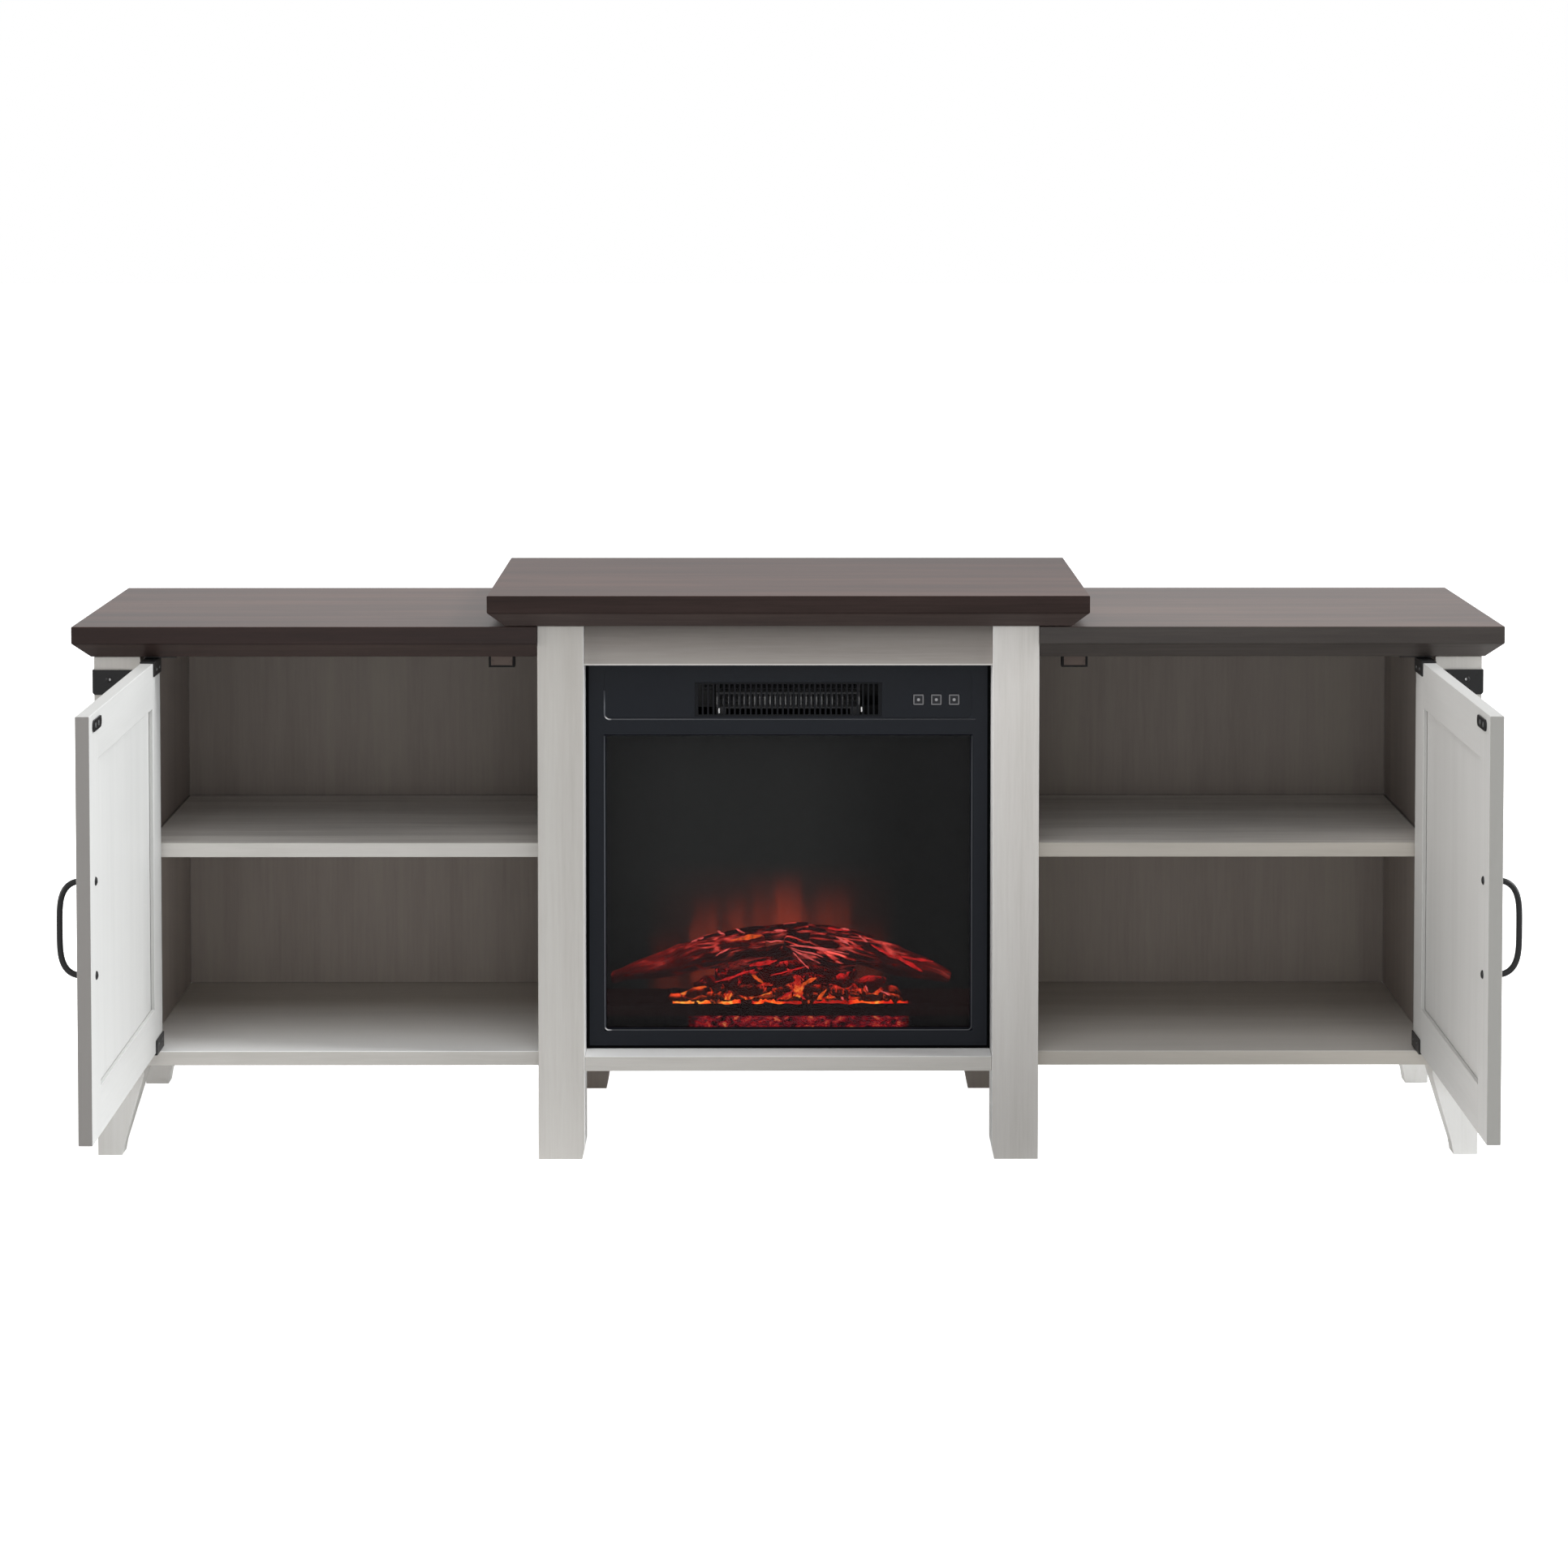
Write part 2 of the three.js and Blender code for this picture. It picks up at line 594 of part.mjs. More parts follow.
// The centre bay: its floor is notched round the four centre legs
function addCentreBay(group) {
  const front = CENTRE_LEG_IN - SEAT_GAP;
  const middle = DIVIDER_IN - SEAT_GAP;
  const rear = REAR_LEG_IN - SEAT_GAP;
  const behindFrontLegs = LEG + SEAT_GAP;
  const beforeRearLegs = REAR_LEG_FRONT - SEAT_GAP;
  const half = [
    [front, CENTRE_FLOOR_SETBACK], [front, behindFrontLegs], [middle, behindFrontLegs],
    [middle, beforeRearLegs], [rear, beforeRearLegs], [rear, BACK],
  ];
  const other = half.map(([x, y]) => [-x, y]).reverse();
  const floor = plateInZ(outline([...half, ...other]), [CENTRE_FLOOR_TOP - PANEL, CENTRE_FLOOR_TOP]);
  add(group, 'centre_floor', floor, whitewash());
  const upper = CENTRE_TOP_UNDER - SEAT_GAP;
  addBox(group, 'apron', [-front, front],
    [APRON_SETBACK, APRON_SETBACK + APRON_THICK], [upper - APRON_HEIGHT, upper], whitewash());
  addBox(group, 'rear_rail', [-rear, rear],
    [BACK - REAR_RAIL_THICK, BACK], [upper - REAR_RAIL_HEIGHT, upper], innerWood());
}

// One door, drawn closed and right-handed about its pivot: the free end lies at negative X,
// the outer face at negative Y and the inner face at positive Y
function doorFrame() {
  const x = [DOOR_FREE_END, PIVOT_FROM_END];
  const opening = [[x[0] + DOOR_STILE, x[1] - DOOR_STILE], [DOOR_BOTTOM + DOOR_STILE, DOOR_TOP - DOOR_STILE]];
  const deep = DOOR_GROOVE_DEPTH;
  const groove = opening.map(([low, high]) => [low - deep, high + deep]);
  const slot = DOOR_PANEL_THICK / 2 + SEAT_GAP;
  const through = [-DOOR_HALF - OVERRUN, DOOR_HALF + OVERRUN];
  const bores = handleHeights().map(
    (z) => rodInY(SCREW_RADIUS + SEAT_GAP, handleX(), through, z, SMALL_ROUND_SIDES));
  return surface(cut(box(x, [-DOOR_HALF, DOOR_HALF], [DOOR_BOTTOM, DOOR_TOP]), [
    box(opening[0], through, opening[1]),
    box(groove[0], [-slot, slot], groove[1]),
    ...bores,
  ]));
}

function doorPanel() {
  const lap = DOOR_STILE - DOOR_GROOVE_DEPTH + SEAT_GAP;
  return boxGeometry([DOOR_FREE_END + lap, PIVOT_FROM_END - lap],
    [-DOOR_PANEL_THICK / 2, DOOR_PANEL_THICK / 2], [DOOR_BOTTOM + lap, DOOR_TOP - lap]);
}

// The bracket wraps the door's corner: over its edge, down its inner face, with the pin on top
function hingeBracket(top) {
  const up = top ? 1 : -1;
  const edge = (top ? DOOR_TOP : DOOR_BOTTOM) + up * SEAT_GAP;
  const far = edge + up * HINGE_PLATE;
  const inner = DOOR_HALF + SEAT_GAP;
  const sorted = (a, b) => [Math.min(a, b), Math.max(a, b)];
  const length = [PIVOT_FROM_END - HINGE_LENGTH, PIVOT_FROM_END];
  const over = box(length, [-DOOR_HALF, inner + HINGE_PLATE], sorted(edge, far));
  const down = box(length, [inner, inner + HINGE_PLATE], sorted(far, edge - up * HINGE_FLANGE));
  const pinEnd = far + up * (RUNNING_GAP + HINGE_PLATE);
  const pin = rodInZ(HINGE_PIN_RADIUS, 0, 0, sorted(edge, pinEnd), SMALL_ROUND_SIDES);
  return surface(join([over, down, pin]));
}

function handleHeights() {
  return [HANDLE_MIDDLE - HANDLE_CENTRES / 2, HANDLE_MIDDLE + HANDLE_CENTRES / 2];
}

function handleX() {
  return DOOR_FREE_END + HANDLE_FROM_EDGE;
}

// The handle is an arch of round bar, with a screw through the door into each foot
function handle() {
  const [low, high] = handleHeights();
  const foot = -DOOR_HALF - SEAT_GAP;
  const reach = -DOOR_HALF - HANDLE_REACH + HANDLE_BOW;
  const crest = reach - 2 * HANDLE_BOW;
  const at = (y, z) => new THREE.Vector3(handleX(), y, z);
  const bend = HANDLE_CORNER / 3;
  const path = new THREE.CurvePath();
  path.add(new THREE.CubicBezierCurve3(at(foot, low), at(reach + bend, low),
    at(reach, low + bend), at(reach, low + HANDLE_CORNER)));
  path.add(new THREE.QuadraticBezierCurve3(at(reach, low + HANDLE_CORNER), at(crest, HANDLE_MIDDLE),
    at(reach, high - HANDLE_CORNER)));
  path.add(new THREE.CubicBezierCurve3(at(reach, high - HANDLE_CORNER), at(reach, high - bend),
    at(reach + bend, high), at(foot, high)));
  const section = new THREE.Shape().absarc(0, 0, HANDLE_BAR_RADIUS, 0, Math.PI * 2, false);
  const bar = new THREE.ExtrudeGeometry(section, {
    steps: HANDLE_STEPS, extrudePath: path, curveSegments: HANDLE_SIDES, bevelEnabled: false,
  });
  const head = DOOR_HALF + SEAT_GAP;
  const screws = [low, high].flatMap((z) => [
    rodInY(SCREW_RADIUS, handleX(), [foot - SCREW_RADIUS, head + SCREW_HEAD / 2], z, SMALL_ROUND_SIDES),
    rodInY(SCREW_HEAD_RADIUS, handleX(), [head, head + SCREW_HEAD], z, SMALL_ROUND_SIDES),
  ]);
  return surface(join([solid(bar), ...screws]));
}

function strikePlate() {
  const middle = DOOR_FREE_END + STRIKE_FROM_EDGE;
  const height = DOOR_TOP - STRIKE_BELOW_TOP;
  const face = DOOR_HALF + SEAT_GAP;
  const shape = roundedRect([middle - STRIKE_LENGTH / 2, middle + STRIKE_LENGTH / 2],
    [height - STRIKE_WIDTH / 2, height + STRIKE_WIDTH / 2], STRIKE_WIDTH / 2 - SEAT_GAP);
  return plateInY(shape, [face, face + STRIKE_THICK]);
}

function addDoor(group, side) {
  const name = sideName(side);
  const door = new THREE.Group();
  door.position.set(side * PIVOT_X, PIVOT_Y, 0);
  door.rotation.z = side * DOOR_OPEN_ANGLE;
  group.add(door);
  add(door, `${name}_door_frame`, handed(side, doorFrame()), whitewash());
  add(door, `${name}_door_panel`, handed(side, doorPanel()), whitewash());
  add(door, `${name}_door_handle`, handed(side, handle()), blackMetal());
  add(door, `${name}_strike_plate`, handed(side, strikePlate()), blackMetal());
  add(door, `${name}_top_hinge_bracket`, handed(side, hingeBracket(true)), blackMetal());
  add(door, `${name}_bottom_hinge_bracket`, handed(side, hingeBracket(false)), blackMetal());
}

// What the door turns in and closes on: two socket plates and a magnetic catch
function socketPlate(length, [z0, z1]) {
  const plate = box([DOOR_END - length, DOOR_END],
    [PIVOT_Y - SOCKET_WIDTH / 2, PIVOT_Y + SOCKET_WIDTH / 2], [z0, z1]);
  const through = [z0 - OVERRUN, z1 + OVERRUN];
  const bore = HINGE_PIN_RADIUS + RUNNING_FIT;
  return surface(cut(plate, [rodInZ(bore, PIVOT_X, PIVOT_Y, through, SMALL_ROUND_SIDES)]));
}

function catchGeometry() {
  const middle = PIVOT_X + DOOR_FREE_END + STRIKE_FROM_EDGE;
  const front = DOOR_OUTER_FACE + DOOR_THICK + SEAT_GAP + STRIKE_THICK + CATCH_PLAY + CATCH_POLE_REACH;
  const z = [CABINET_CEILING - CATCH_HEIGHT, CABINET_CEILING];
  const body = box([middle - CATCH_LENGTH / 2, middle + CATCH_LENGTH / 2], [front, front + CATCH_DEPTH], z);
  const poleTop = z[0] + CATCH_HEIGHT / 2;
  const poles = [-1, 1].map((end) => {
    const x = middle + end * (CATCH_LENGTH / 2 - 2 * CATCH_POLE);
    return box([x - CATCH_POLE / 2, x + CATCH_POLE / 2], [front - CATCH_POLE_REACH, front + CATCH_POLE_REACH],
      [z[0] + CATCH_POLE, poleTop]);
  });
  return surface(join([body, ...poles]));
}

function addDoorFittings(group, side) {
  const name = sideName(side);
  const low = CABINET_FLOOR_TOP + SEAT_GAP;
  const bottom = socketPlate(BOTTOM_SOCKET_LENGTH, [low, low + HINGE_PLATE]);
  const top = socketPlate(TOP_SOCKET_LENGTH, [CABINET_CEILING - HINGE_PLATE, CABINET_CEILING]);
  add(group, `${name}_bottom_hinge_socket`, handed(side, bottom), blackMetal());
  add(group, `${name}_top_hinge_socket`, handed(side, top), blackMetal());
  add(group, `${name}_magnetic_catch`, handed(side, catchGeometry()), blackPlastic());
}

// The strap wraps the outer front corner of the leg and is held by one domed rivet
function cornerStrap() {
  const out = OUTER_LEG_OUT + SEAT_GAP + STRAP_THICK;
  const face = OUTER_LEG_SETBACK - SEAT_GAP;
  const top = CABINET_CEILING - STRAP_BELOW_TOP;
  const z = [top - STRAP_HEIGHT, top];
  const front = roundedRect([out - STRAP_WIDTH - STRAP_THICK, out], z, STRAP_CORNER);
  const squareTop = box([out - STRAP_WIDTH - STRAP_THICK, out], [face - STRAP_THICK, face],
    [top - STRAP_HEIGHT / 2, top]);
  const turn = box([out - STRAP_THICK, out], [face - STRAP_THICK, face + STRAP_RETURN],
    [z[0] + STRAP_CORNER, top]);
  const rivet = new THREE.SphereGeometry(RIVET_RADIUS, SMALL_ROUND_SIDES, SMALL_ROUND_SIDES / 2);
  rivet.scale(1, RIVET_HEIGHT / RIVET_RADIUS, 1);
  rivet.translate(out - RIVET_FROM_OUTSIDE, face - STRAP_THICK, top - STRAP_HEIGHT / 2 + RIVET_RADIUS);
  const front3d = solid(plateInY(front, [face - STRAP_THICK, face]));
  const whole = join([front3d, squareTop, turn, solid(rivet)]);
  const leg = box([0, OUTER_LEG_OUT + SEAT_GAP], [face, face + STRAP_RETURN], z);
  return surface(cut(whole, [leg]));
}

// The black front of the fireplace: window, control band, vent and button holes
function fascia() {
  const outer = [-FASCIA_HALF, FASCIA_HALF];
  const height = [FASCIA_BOTTOM, FASCIA_TOP];
  const plate = box(outer, [FASCIA_SETBACK, FASCIA_BACK], height);
  const rimOut = box(outer, [FASCIA_BACK - SEAT_GAP, FASCIA_BACK + FASCIA_RIM_DEPTH], height);
  const rimIn = box([outer[0] + FASCIA_RIM, outer[1] - FASCIA_RIM],
    [FASCIA_BACK, FASCIA_BACK + FASCIA_RIM_DEPTH + OVERRUN],
    [height[0] + FASCIA_RIM, height[1] - FASCIA_RIM]);
  const half = WINDOW_HALF;
  const slope = WINDOW_BEVEL / FASCIA_THICK;
  const grow = OVERRUN * slope;
  const ring = (y, margin) => [
    [-half - margin, y, WINDOW_TOP + margin], [half + margin, y, WINDOW_TOP + margin],
    [half + margin, y, WINDOW_BOTTOM - margin], [-half - margin, y, WINDOW_BOTTOM - margin],
  ];
  const window = solid(loft([
    ring(FASCIA_SETBACK - OVERRUN, grow),
    ring(FASCIA_BACK + OVERRUN, -WINDOW_BEVEL - grow),
  ]));
  const band = roundedRect([-BAND_HALF, BAND_HALF], [BAND_BOTTOM, BAND_TOP], BAND_CORNER);
  const recess = solid(plateInY(band, [FASCIA_SETBACK - OVERRUN, FASCIA_SETBACK + BAND_DEPTH]));
  const through = [FASCIA_SETBACK - OVERRUN, FASCIA_BACK + OVERRUN];
  const vent = box([-VENT_HALF, VENT_HALF], through, [VENT_BOTTOM, VENT_TOP]);
  const holes = buttonPlaces().map((x) => solid(plateInY(buttonOutline(x, BUTTON_PLAY), through)));
  return surface(cut(plate.add(rimOut), [rimIn, window, recess, vent, ...holes]));
}

function glassPane() {
  const half = WINDOW_HALF + GLASS_LAP;
  return boxGeometry([-half, half], [GLASS_FRONT, GLASS_FRONT + GLASS_THICK],
    [WINDOW_BOTTOM - GLASS_LAP, WINDOW_TOP + GLASS_LAP]);
}

// The vent grille: one row of upright slats in a thin frame
function ventGrille() {
  const half = VENT_HALF - SEAT_GAP;
  const z = [VENT_BOTTOM + SEAT_GAP, VENT_TOP - SEAT_GAP];
  const front = FASCIA_SETBACK + BAND_DEPTH;
  const clear = half - GRILLE_FRAME;
  const count = Math.floor((2 * clear + SLAT_WIDTH) / SLAT_PITCH);
  const first = -((count - 1) * SLAT_PITCH) / 2;
  const slot = (SLAT_PITCH - SLAT_WIDTH) / 2;
  const slots = Array.from({ length: count }, (_, i) => {
    const x = first + i * SLAT_PITCH;
    return box([x - slot, x + slot], [front - OVERRUN, front + GRILLE_THICK + OVERRUN],
      [z[0] + GRILLE_FRAME, z[1] - GRILLE_FRAME]);
  });
  return surface(cut(box([-half, half], [front, front + GRILLE_THICK], z), slots));
}

// The buttons: a square cap, a flange that stops it behind the front, and a stem to its switch
function buttonPlaces() {
  return Array.from({ length: BUTTON_COUNT },
    (_, i) => BUTTON_MIDDLE_X + (i - (BUTTON_COUNT - 1) / 2) * BUTTON_PITCH);
}

function buttonOutline(x, margin) {
  const half = BUTTON / 2 + margin;
  return roundedRect([x - half, x + half], [BUTTON_Z - half, BUTTON_Z + half], BUTTON_CORNER);
}

function button(x) {
  const capFront = FASCIA_SETBACK + BAND_DEPTH - BUTTON_PROUD;
  const flangeFront = FASCIA_BACK + SEAT_GAP;
  const flangeBack = flangeFront + BUTTON_FLANGE_THICK;
  const cap = solid(plateInY(buttonOutline(x, 0), [capFront, flangeBack]));
  const flange = solid(plateInY(buttonOutline(x, BUTTON_FLANGE), [flangeFront, flangeBack]));
  const stem = rodInY(BUTTON_STEM_RADIUS, x, [capFront + OVERRUN, flangeBack + BUTTON_STEM],
    BUTTON_Z, SMALL_ROUND_SIDES);
  return surface(join([cap, flange, stem]));
}

function controlBoard() {
  const places = buttonPlaces();
  const half = BUTTON / 2 + BOARD_MARGIN;
  const x = [places[0] - half, places[BUTTON_COUNT - 1] + half];
  const z = [BUTTON_Z - half, BUTTON_Z + half];
  const flangeBack = FASCIA_BACK + SEAT_GAP + BUTTON_FLANGE_THICK;
  const front = flangeBack + BUTTON_STEM + BUTTON_TRAVEL + BOARD_CLEAR;
  const board = box(x, [front, front + BOARD_THICK], z);
  const inset = BOARD_POST_RADIUS + SEAT_GAP;
  const length = [FASCIA_BACK + SEAT_GAP, front + BOARD_THICK / 2];
  const posts = [x[0] + inset, x[1] - inset].flatMap((px) => [z[0] + inset, z[1] - inset].map(
    (pz) => rodInY(BOARD_POST_RADIUS, px, length, pz, SMALL_ROUND_SIDES)));
  return surface(join([board, ...posts]));
}

// The sheet-metal body: open at the front, with a floor between the firebox and the heater duct
function housing() {
  const x = [-HOUSING_HALF, HOUSING_HALF];
  const z = [HOUSING_BOTTOM, HOUSING_TOP];
  const shell = box(x, [HOUSING_FRONT, HOUSING_BACK], z);
  const flange = box([x[0] - HOUSING_FLANGE, x[1] + HOUSING_FLANGE],
    [HOUSING_FRONT, HOUSING_FRONT + SHEET], [z[0], z[1] + HOUSING_FLANGE]);
  const inside = [x[0] + SHEET, x[1] - SHEET];
  const open = [HOUSING_FRONT - OVERRUN, HOUSING_BACK - SHEET];
  const firebox = box(inside, open, [z[0] + SHEET, DUCT_FLOOR]);
  const duct = box(inside, open, [DUCT_FLOOR + SHEET, z[1] - SHEET]);
  const through = [HOUSING_BACK - SHEET - OVERRUN, HOUSING_BACK + OVERRUN];
  const slots = Math.floor((2 * (HOUSING_HALF - INTAKE_FROM_END)) / INTAKE_PITCH);
  const middle = (DUCT_FLOOR + z[1]) / 2;
  const intake = Array.from({ length: slots }, (_, i) => {
    const at = (i - (slots - 1) / 2) * INTAKE_PITCH;
    return box([at - INTAKE_SLOT_WIDTH / 2, at + INTAKE_SLOT_WIDTH / 2], through,
      [middle - INTAKE_SLOT_HEIGHT / 2, middle + INTAKE_SLOT_HEIGHT / 2]);
  });
  const glandHole = rodInY(GLAND_RADIUS + SEAT_GAP, GLAND_X, through, GLAND_Z);
  const body = cut(shell.add(flange), [firebox, duct, ...intake, glandHole]);
  return surface(join([body, wheelPedestal(), rotorPedestal()]));
}

// Bearings for the free ends of the blower wheel and of the flame rotor
function pedestal([x0, x1], y, z, bottom, bore) {
  const half = PEDESTAL_WIDTH / 2;
  const post = box([x0, x1], [y - half, y + half], [bottom, z]);
  const round = rodInX(half, [x0, x1], y, z);
  return cut(post.add(round), [rodInX(bore, [x0 - OVERRUN, x1 + OVERRUN], y, z, SMALL_ROUND_SIDES)]);
}

function wheelPedestal() {
  const inner = -WHEEL_END - RUNNING_GAP;
  return pedestal([inner - PEDESTAL_THICK, inner], WHEEL_AXIS_Y, WHEEL_AXIS_Z, DUCT_FLOOR,
    AXLE_RADIUS + RUNNING_FIT);
}

function rotorPedestal() {
  const inner = -ROTOR_END - RUNNING_GAP;
  return pedestal([inner - PEDESTAL_THICK, inner], ROTOR_AXIS_Y, ROTOR_AXIS_Z, HOUSING_BOTTOM,
    ROTOR_SHAFT_RADIUS + RUNNING_FIT);
}

function cordGland() {
  const back = HOUSING_BACK + SEAT_GAP;
  const neck = rodInY(GLAND_RADIUS, GLAND_X, [HOUSING_BACK - SHEET - GLAND_FLANGE, back + GLAND_REACH],
    GLAND_Z);
  const flange = rodInY(GLAND_FLANGE_RADIUS, GLAND_X, [back, back + GLAND_FLANGE], GLAND_Z);
  const bore = rodInY(GLAND_BORE_RADIUS, GLAND_X, [HOUSING_FRONT, back + GLAND_REACH + OVERRUN],
    GLAND_Z, SMALL_ROUND_SIDES);
  return surface(cut(neck.add(flange), [bore]));
}

// The heater: upright fins between two rails, on two feet
function heaterElement() {
  const half = HEATER_HALF;
  const y = [HEATER_FRONT, HEATER_FRONT + HEATER_DEPTH];
  const z = [HEATER_MIDDLE - HEATER_HEIGHT / 2, HEATER_MIDDLE + HEATER_HEIGHT / 2];
  const count = Math.floor((2 * half - HEATER_FIN) / HEATER_FIN_PITCH);
  const slot = (HEATER_FIN_PITCH - HEATER_FIN) / 2;
  const slots = Array.from({ length: count }, (_, i) => {
    const x = (i - (count - 1) / 2) * HEATER_FIN_PITCH;
    return box([x - slot, x + slot], [y[0] - OVERRUN, y[1] + OVERRUN],
      [z[0] + HEATER_RAIL, z[1] - HEATER_RAIL]);
  });
  const feet = [-half, half - HEATER_FOOT].map(
    (x) => box([x, x + HEATER_FOOT], y, [DUCT_SEAT, z[0] + HEATER_RAIL / 2]));
  return surface(join([cut(box([-half, half], y, z), slots), ...feet]));
}

// The cross-flow wheel: tilted blades between two end discs with stub axles
function blowerWheel() {
  const hub = [WHEEL_AXIS_Y, WHEEL_AXIS_Z];
  const discs = [[-WHEEL_END, -WHEEL_END + WHEEL_DISC], [WHEEL_END - WHEEL_DISC, WHEEL_END]].map(
    (x) => rodInX(WHEEL_RADIUS, x, ...hub));
  const stubs = [[-WHEEL_END - AXLE_STUB, -WHEEL_END], [WHEEL_END, WHEEL_END + AXLE_STUB]].map(
    ([x0, x1]) => rodInX(AXLE_RADIUS, [x0 - WHEEL_DISC / 2, x1 + WHEEL_DISC / 2], ...hub, SMALL_ROUND_SIDES));
  const blades = Array.from({ length: WHEEL_BLADES }, (_, i) => {
    const blade = new THREE.BoxGeometry(2 * WHEEL_END - WHEEL_DISC, WHEEL_BLADE, WHEEL_BLADE_CHORD);
    blade.rotateX(WHEEL_BLADE_TILT);
    blade.translate(0, 0, WHEEL_RADIUS - WHEEL_BLADE_CHORD / 2 - WHEEL_BLADE);
    blade.rotateX((i * 2 * Math.PI) / WHEEL_BLADES);
    blade.translate(0, ...hub);
    return solid(blade);
  });
  return surface(join([...discs, ...stubs, ...blades]));
}

function blowerMotor() {
  const x = [WHEEL_END + RUNNING_GAP, WHEEL_END + RUNNING_GAP + MOTOR_LENGTH];
  const can = rodInX(MOTOR_RADIUS, x, WHEEL_AXIS_Y, WHEEL_AXIS_Z);
  const foot = box(x, [WHEEL_AXIS_Y - MOTOR_FOOT / 2, WHEEL_AXIS_Y + MOTOR_FOOT / 2],
    [DUCT_SEAT, WHEEL_AXIS_Z]);
  const bore = rodInX(AXLE_RADIUS + RUNNING_FIT, [x[0] - OVERRUN, WHEEL_END + AXLE_STUB + OVERRUN / 2],
    WHEEL_AXIS_Y, WHEEL_AXIS_Z, SMALL_ROUND_SIDES);
  return surface(cut(can.add(foot), [bore]));
}

// The flame rotor: paddles set round a shaft that flicker light onto the screen
function flameRotor() {
  const stub = ROTOR_STUB + RUNNING_GAP;
  const shaft = rodInX(ROTOR_SHAFT_RADIUS, [-ROTOR_END - stub, ROTOR_END + stub],
    ROTOR_AXIS_Y, ROTOR_AXIS_Z, SMALL_ROUND_SIDES);
  const pitch = (2 * ROTOR_END) / PADDLE_COUNT;
  const paddles = Array.from({ length: PADDLE_COUNT }, (_, i) => {
    const paddle = new THREE.BoxGeometry(PADDLE_LENGTH, PADDLE_THICK, PADDLE_SPAN);
    paddle.rotateX(i * PADDLE_TURN);
    paddle.translate((i - (PADDLE_COUNT - 1) / 2) * pitch, ROTOR_AXIS_Y, ROTOR_AXIS_Z);
    return solid(paddle);
  });
  return surface(join([shaft, ...paddles]));
}

function rotorMotor() {
  const x = [ROTOR_END + RUNNING_GAP, ROTOR_END + RUNNING_GAP + ROTOR_MOTOR_LENGTH];
  const half = ROTOR_MOTOR_RADIUS / 2;
  const can = rodInX(ROTOR_MOTOR_RADIUS, x, ROTOR_AXIS_Y, ROTOR_AXIS_Z);
  const foot = box(x, [ROTOR_AXIS_Y - half, ROTOR_AXIS_Y + half], [FIREBOX_FLOOR, ROTOR_AXIS_Z]);
  const bore = rodInX(ROTOR_SHAFT_RADIUS + RUNNING_FIT, [x[0] - OVERRUN, x[0] + ROTOR_STUB + RUNNING_GAP],
    ROTOR_AXIS_Y, ROTOR_AXIS_Z, SMALL_ROUND_SIDES);
  return surface(cut(can.add(foot), [bore]));
}

// The ember bed: a block whose top is a field of small lumps
function bedTop(x, y) {
  const u = (x * 2 * Math.PI) / BED_WAVE;
  const v = (y * 2 * Math.PI) / BED_WAVE;
  const wave = Math.sin(u + 1.4 * v) * Math.sin(1.2 * v - 0.6 * u) + Math.sin(1.8 * u - 1.6 * v) / 2;
  return FIREBOX_FLOOR + BED_HEIGHT + (BED_RELIEF * wave) / 1.5;
}

function emberBed() {
  const half = INSIDE_HALF - BED_MARGIN;
  const rings = Array.from({ length: BED_COLUMNS + 1 }, (_, column) => {
    const x = -half + (2 * half * column) / BED_COLUMNS;
    const ridge = Array.from({ length: BED_ROWS + 1 }, (_, row) => {
      const y = BED_BACK - ((BED_BACK - BED_FRONT) * row) / BED_ROWS;
      return [x, y, bedTop(x, y)];
    });
    return [[x, BED_FRONT, FIREBOX_FLOOR], [x, BED_BACK, FIREBOX_FLOOR], ...ridge];
  });
  return loft(rings);
}

// A log swells in the middle, bends a little, and has gnarled bark
function logGeometry({ from, to, girth }, seed) {
  const place = ([x, y, z]) => new THREE.Vector3(x * PILE_HALF_WIDTH,
    BED_FRONT + y * (BED_BACK - BED_FRONT), FIREBOX_FLOOR + BED_HEIGHT + z * PILE_HEIGHT);
  const start = place(from);
  const end = place(to);
  const along = end.clone().sub(start).normalize();
  const sideways = new THREE.Vector3(0, 0, 1).cross(along).normalize();
  const upward = along.clone().cross(sideways);
  const rings = Array.from({ length: LOG_RINGS }, (_, ring) => {
    const share = ring / (LOG_RINGS - 1);
    const middle = start.clone().lerp(end, share)
      .addScaledVector(upward, LOG_BEND * Math.sin(share * Math.PI * 2 + seed));
    const swell = 1 - LOG_TAPER_SHARE * (2 * share - 1) ** 2;
    return Array.from({ length: LOG_SIDES }, (_, i) => {
      const angle = (i * 2 * Math.PI) / LOG_SIDES;
      const gnarl = 1 + LOG_GNARL_SHARE * Math.sin(3 * angle + seed * 2 + ring * 1.3);
      const radius = LOG_RADIUS * girth * swell * gnarl;
      return middle.clone()
        .addScaledVector(sideways, radius * Math.cos(angle))
        .addScaledVector(upward, radius * Math.sin(angle))
        .toArray();
    });
  });
  return loft(rings);
}

function logSet() {
  const logs = LOG_SHARES.map((log, i) => solid(logGeometry(log, i)));
  const behind = box([-HALF_WIDTH, HALF_WIDTH], [BED_BACK, BACK], [0, HEIGHT]);
  return surface(cut(join([solid(emberBed()), ...logs]), [behind]));
}

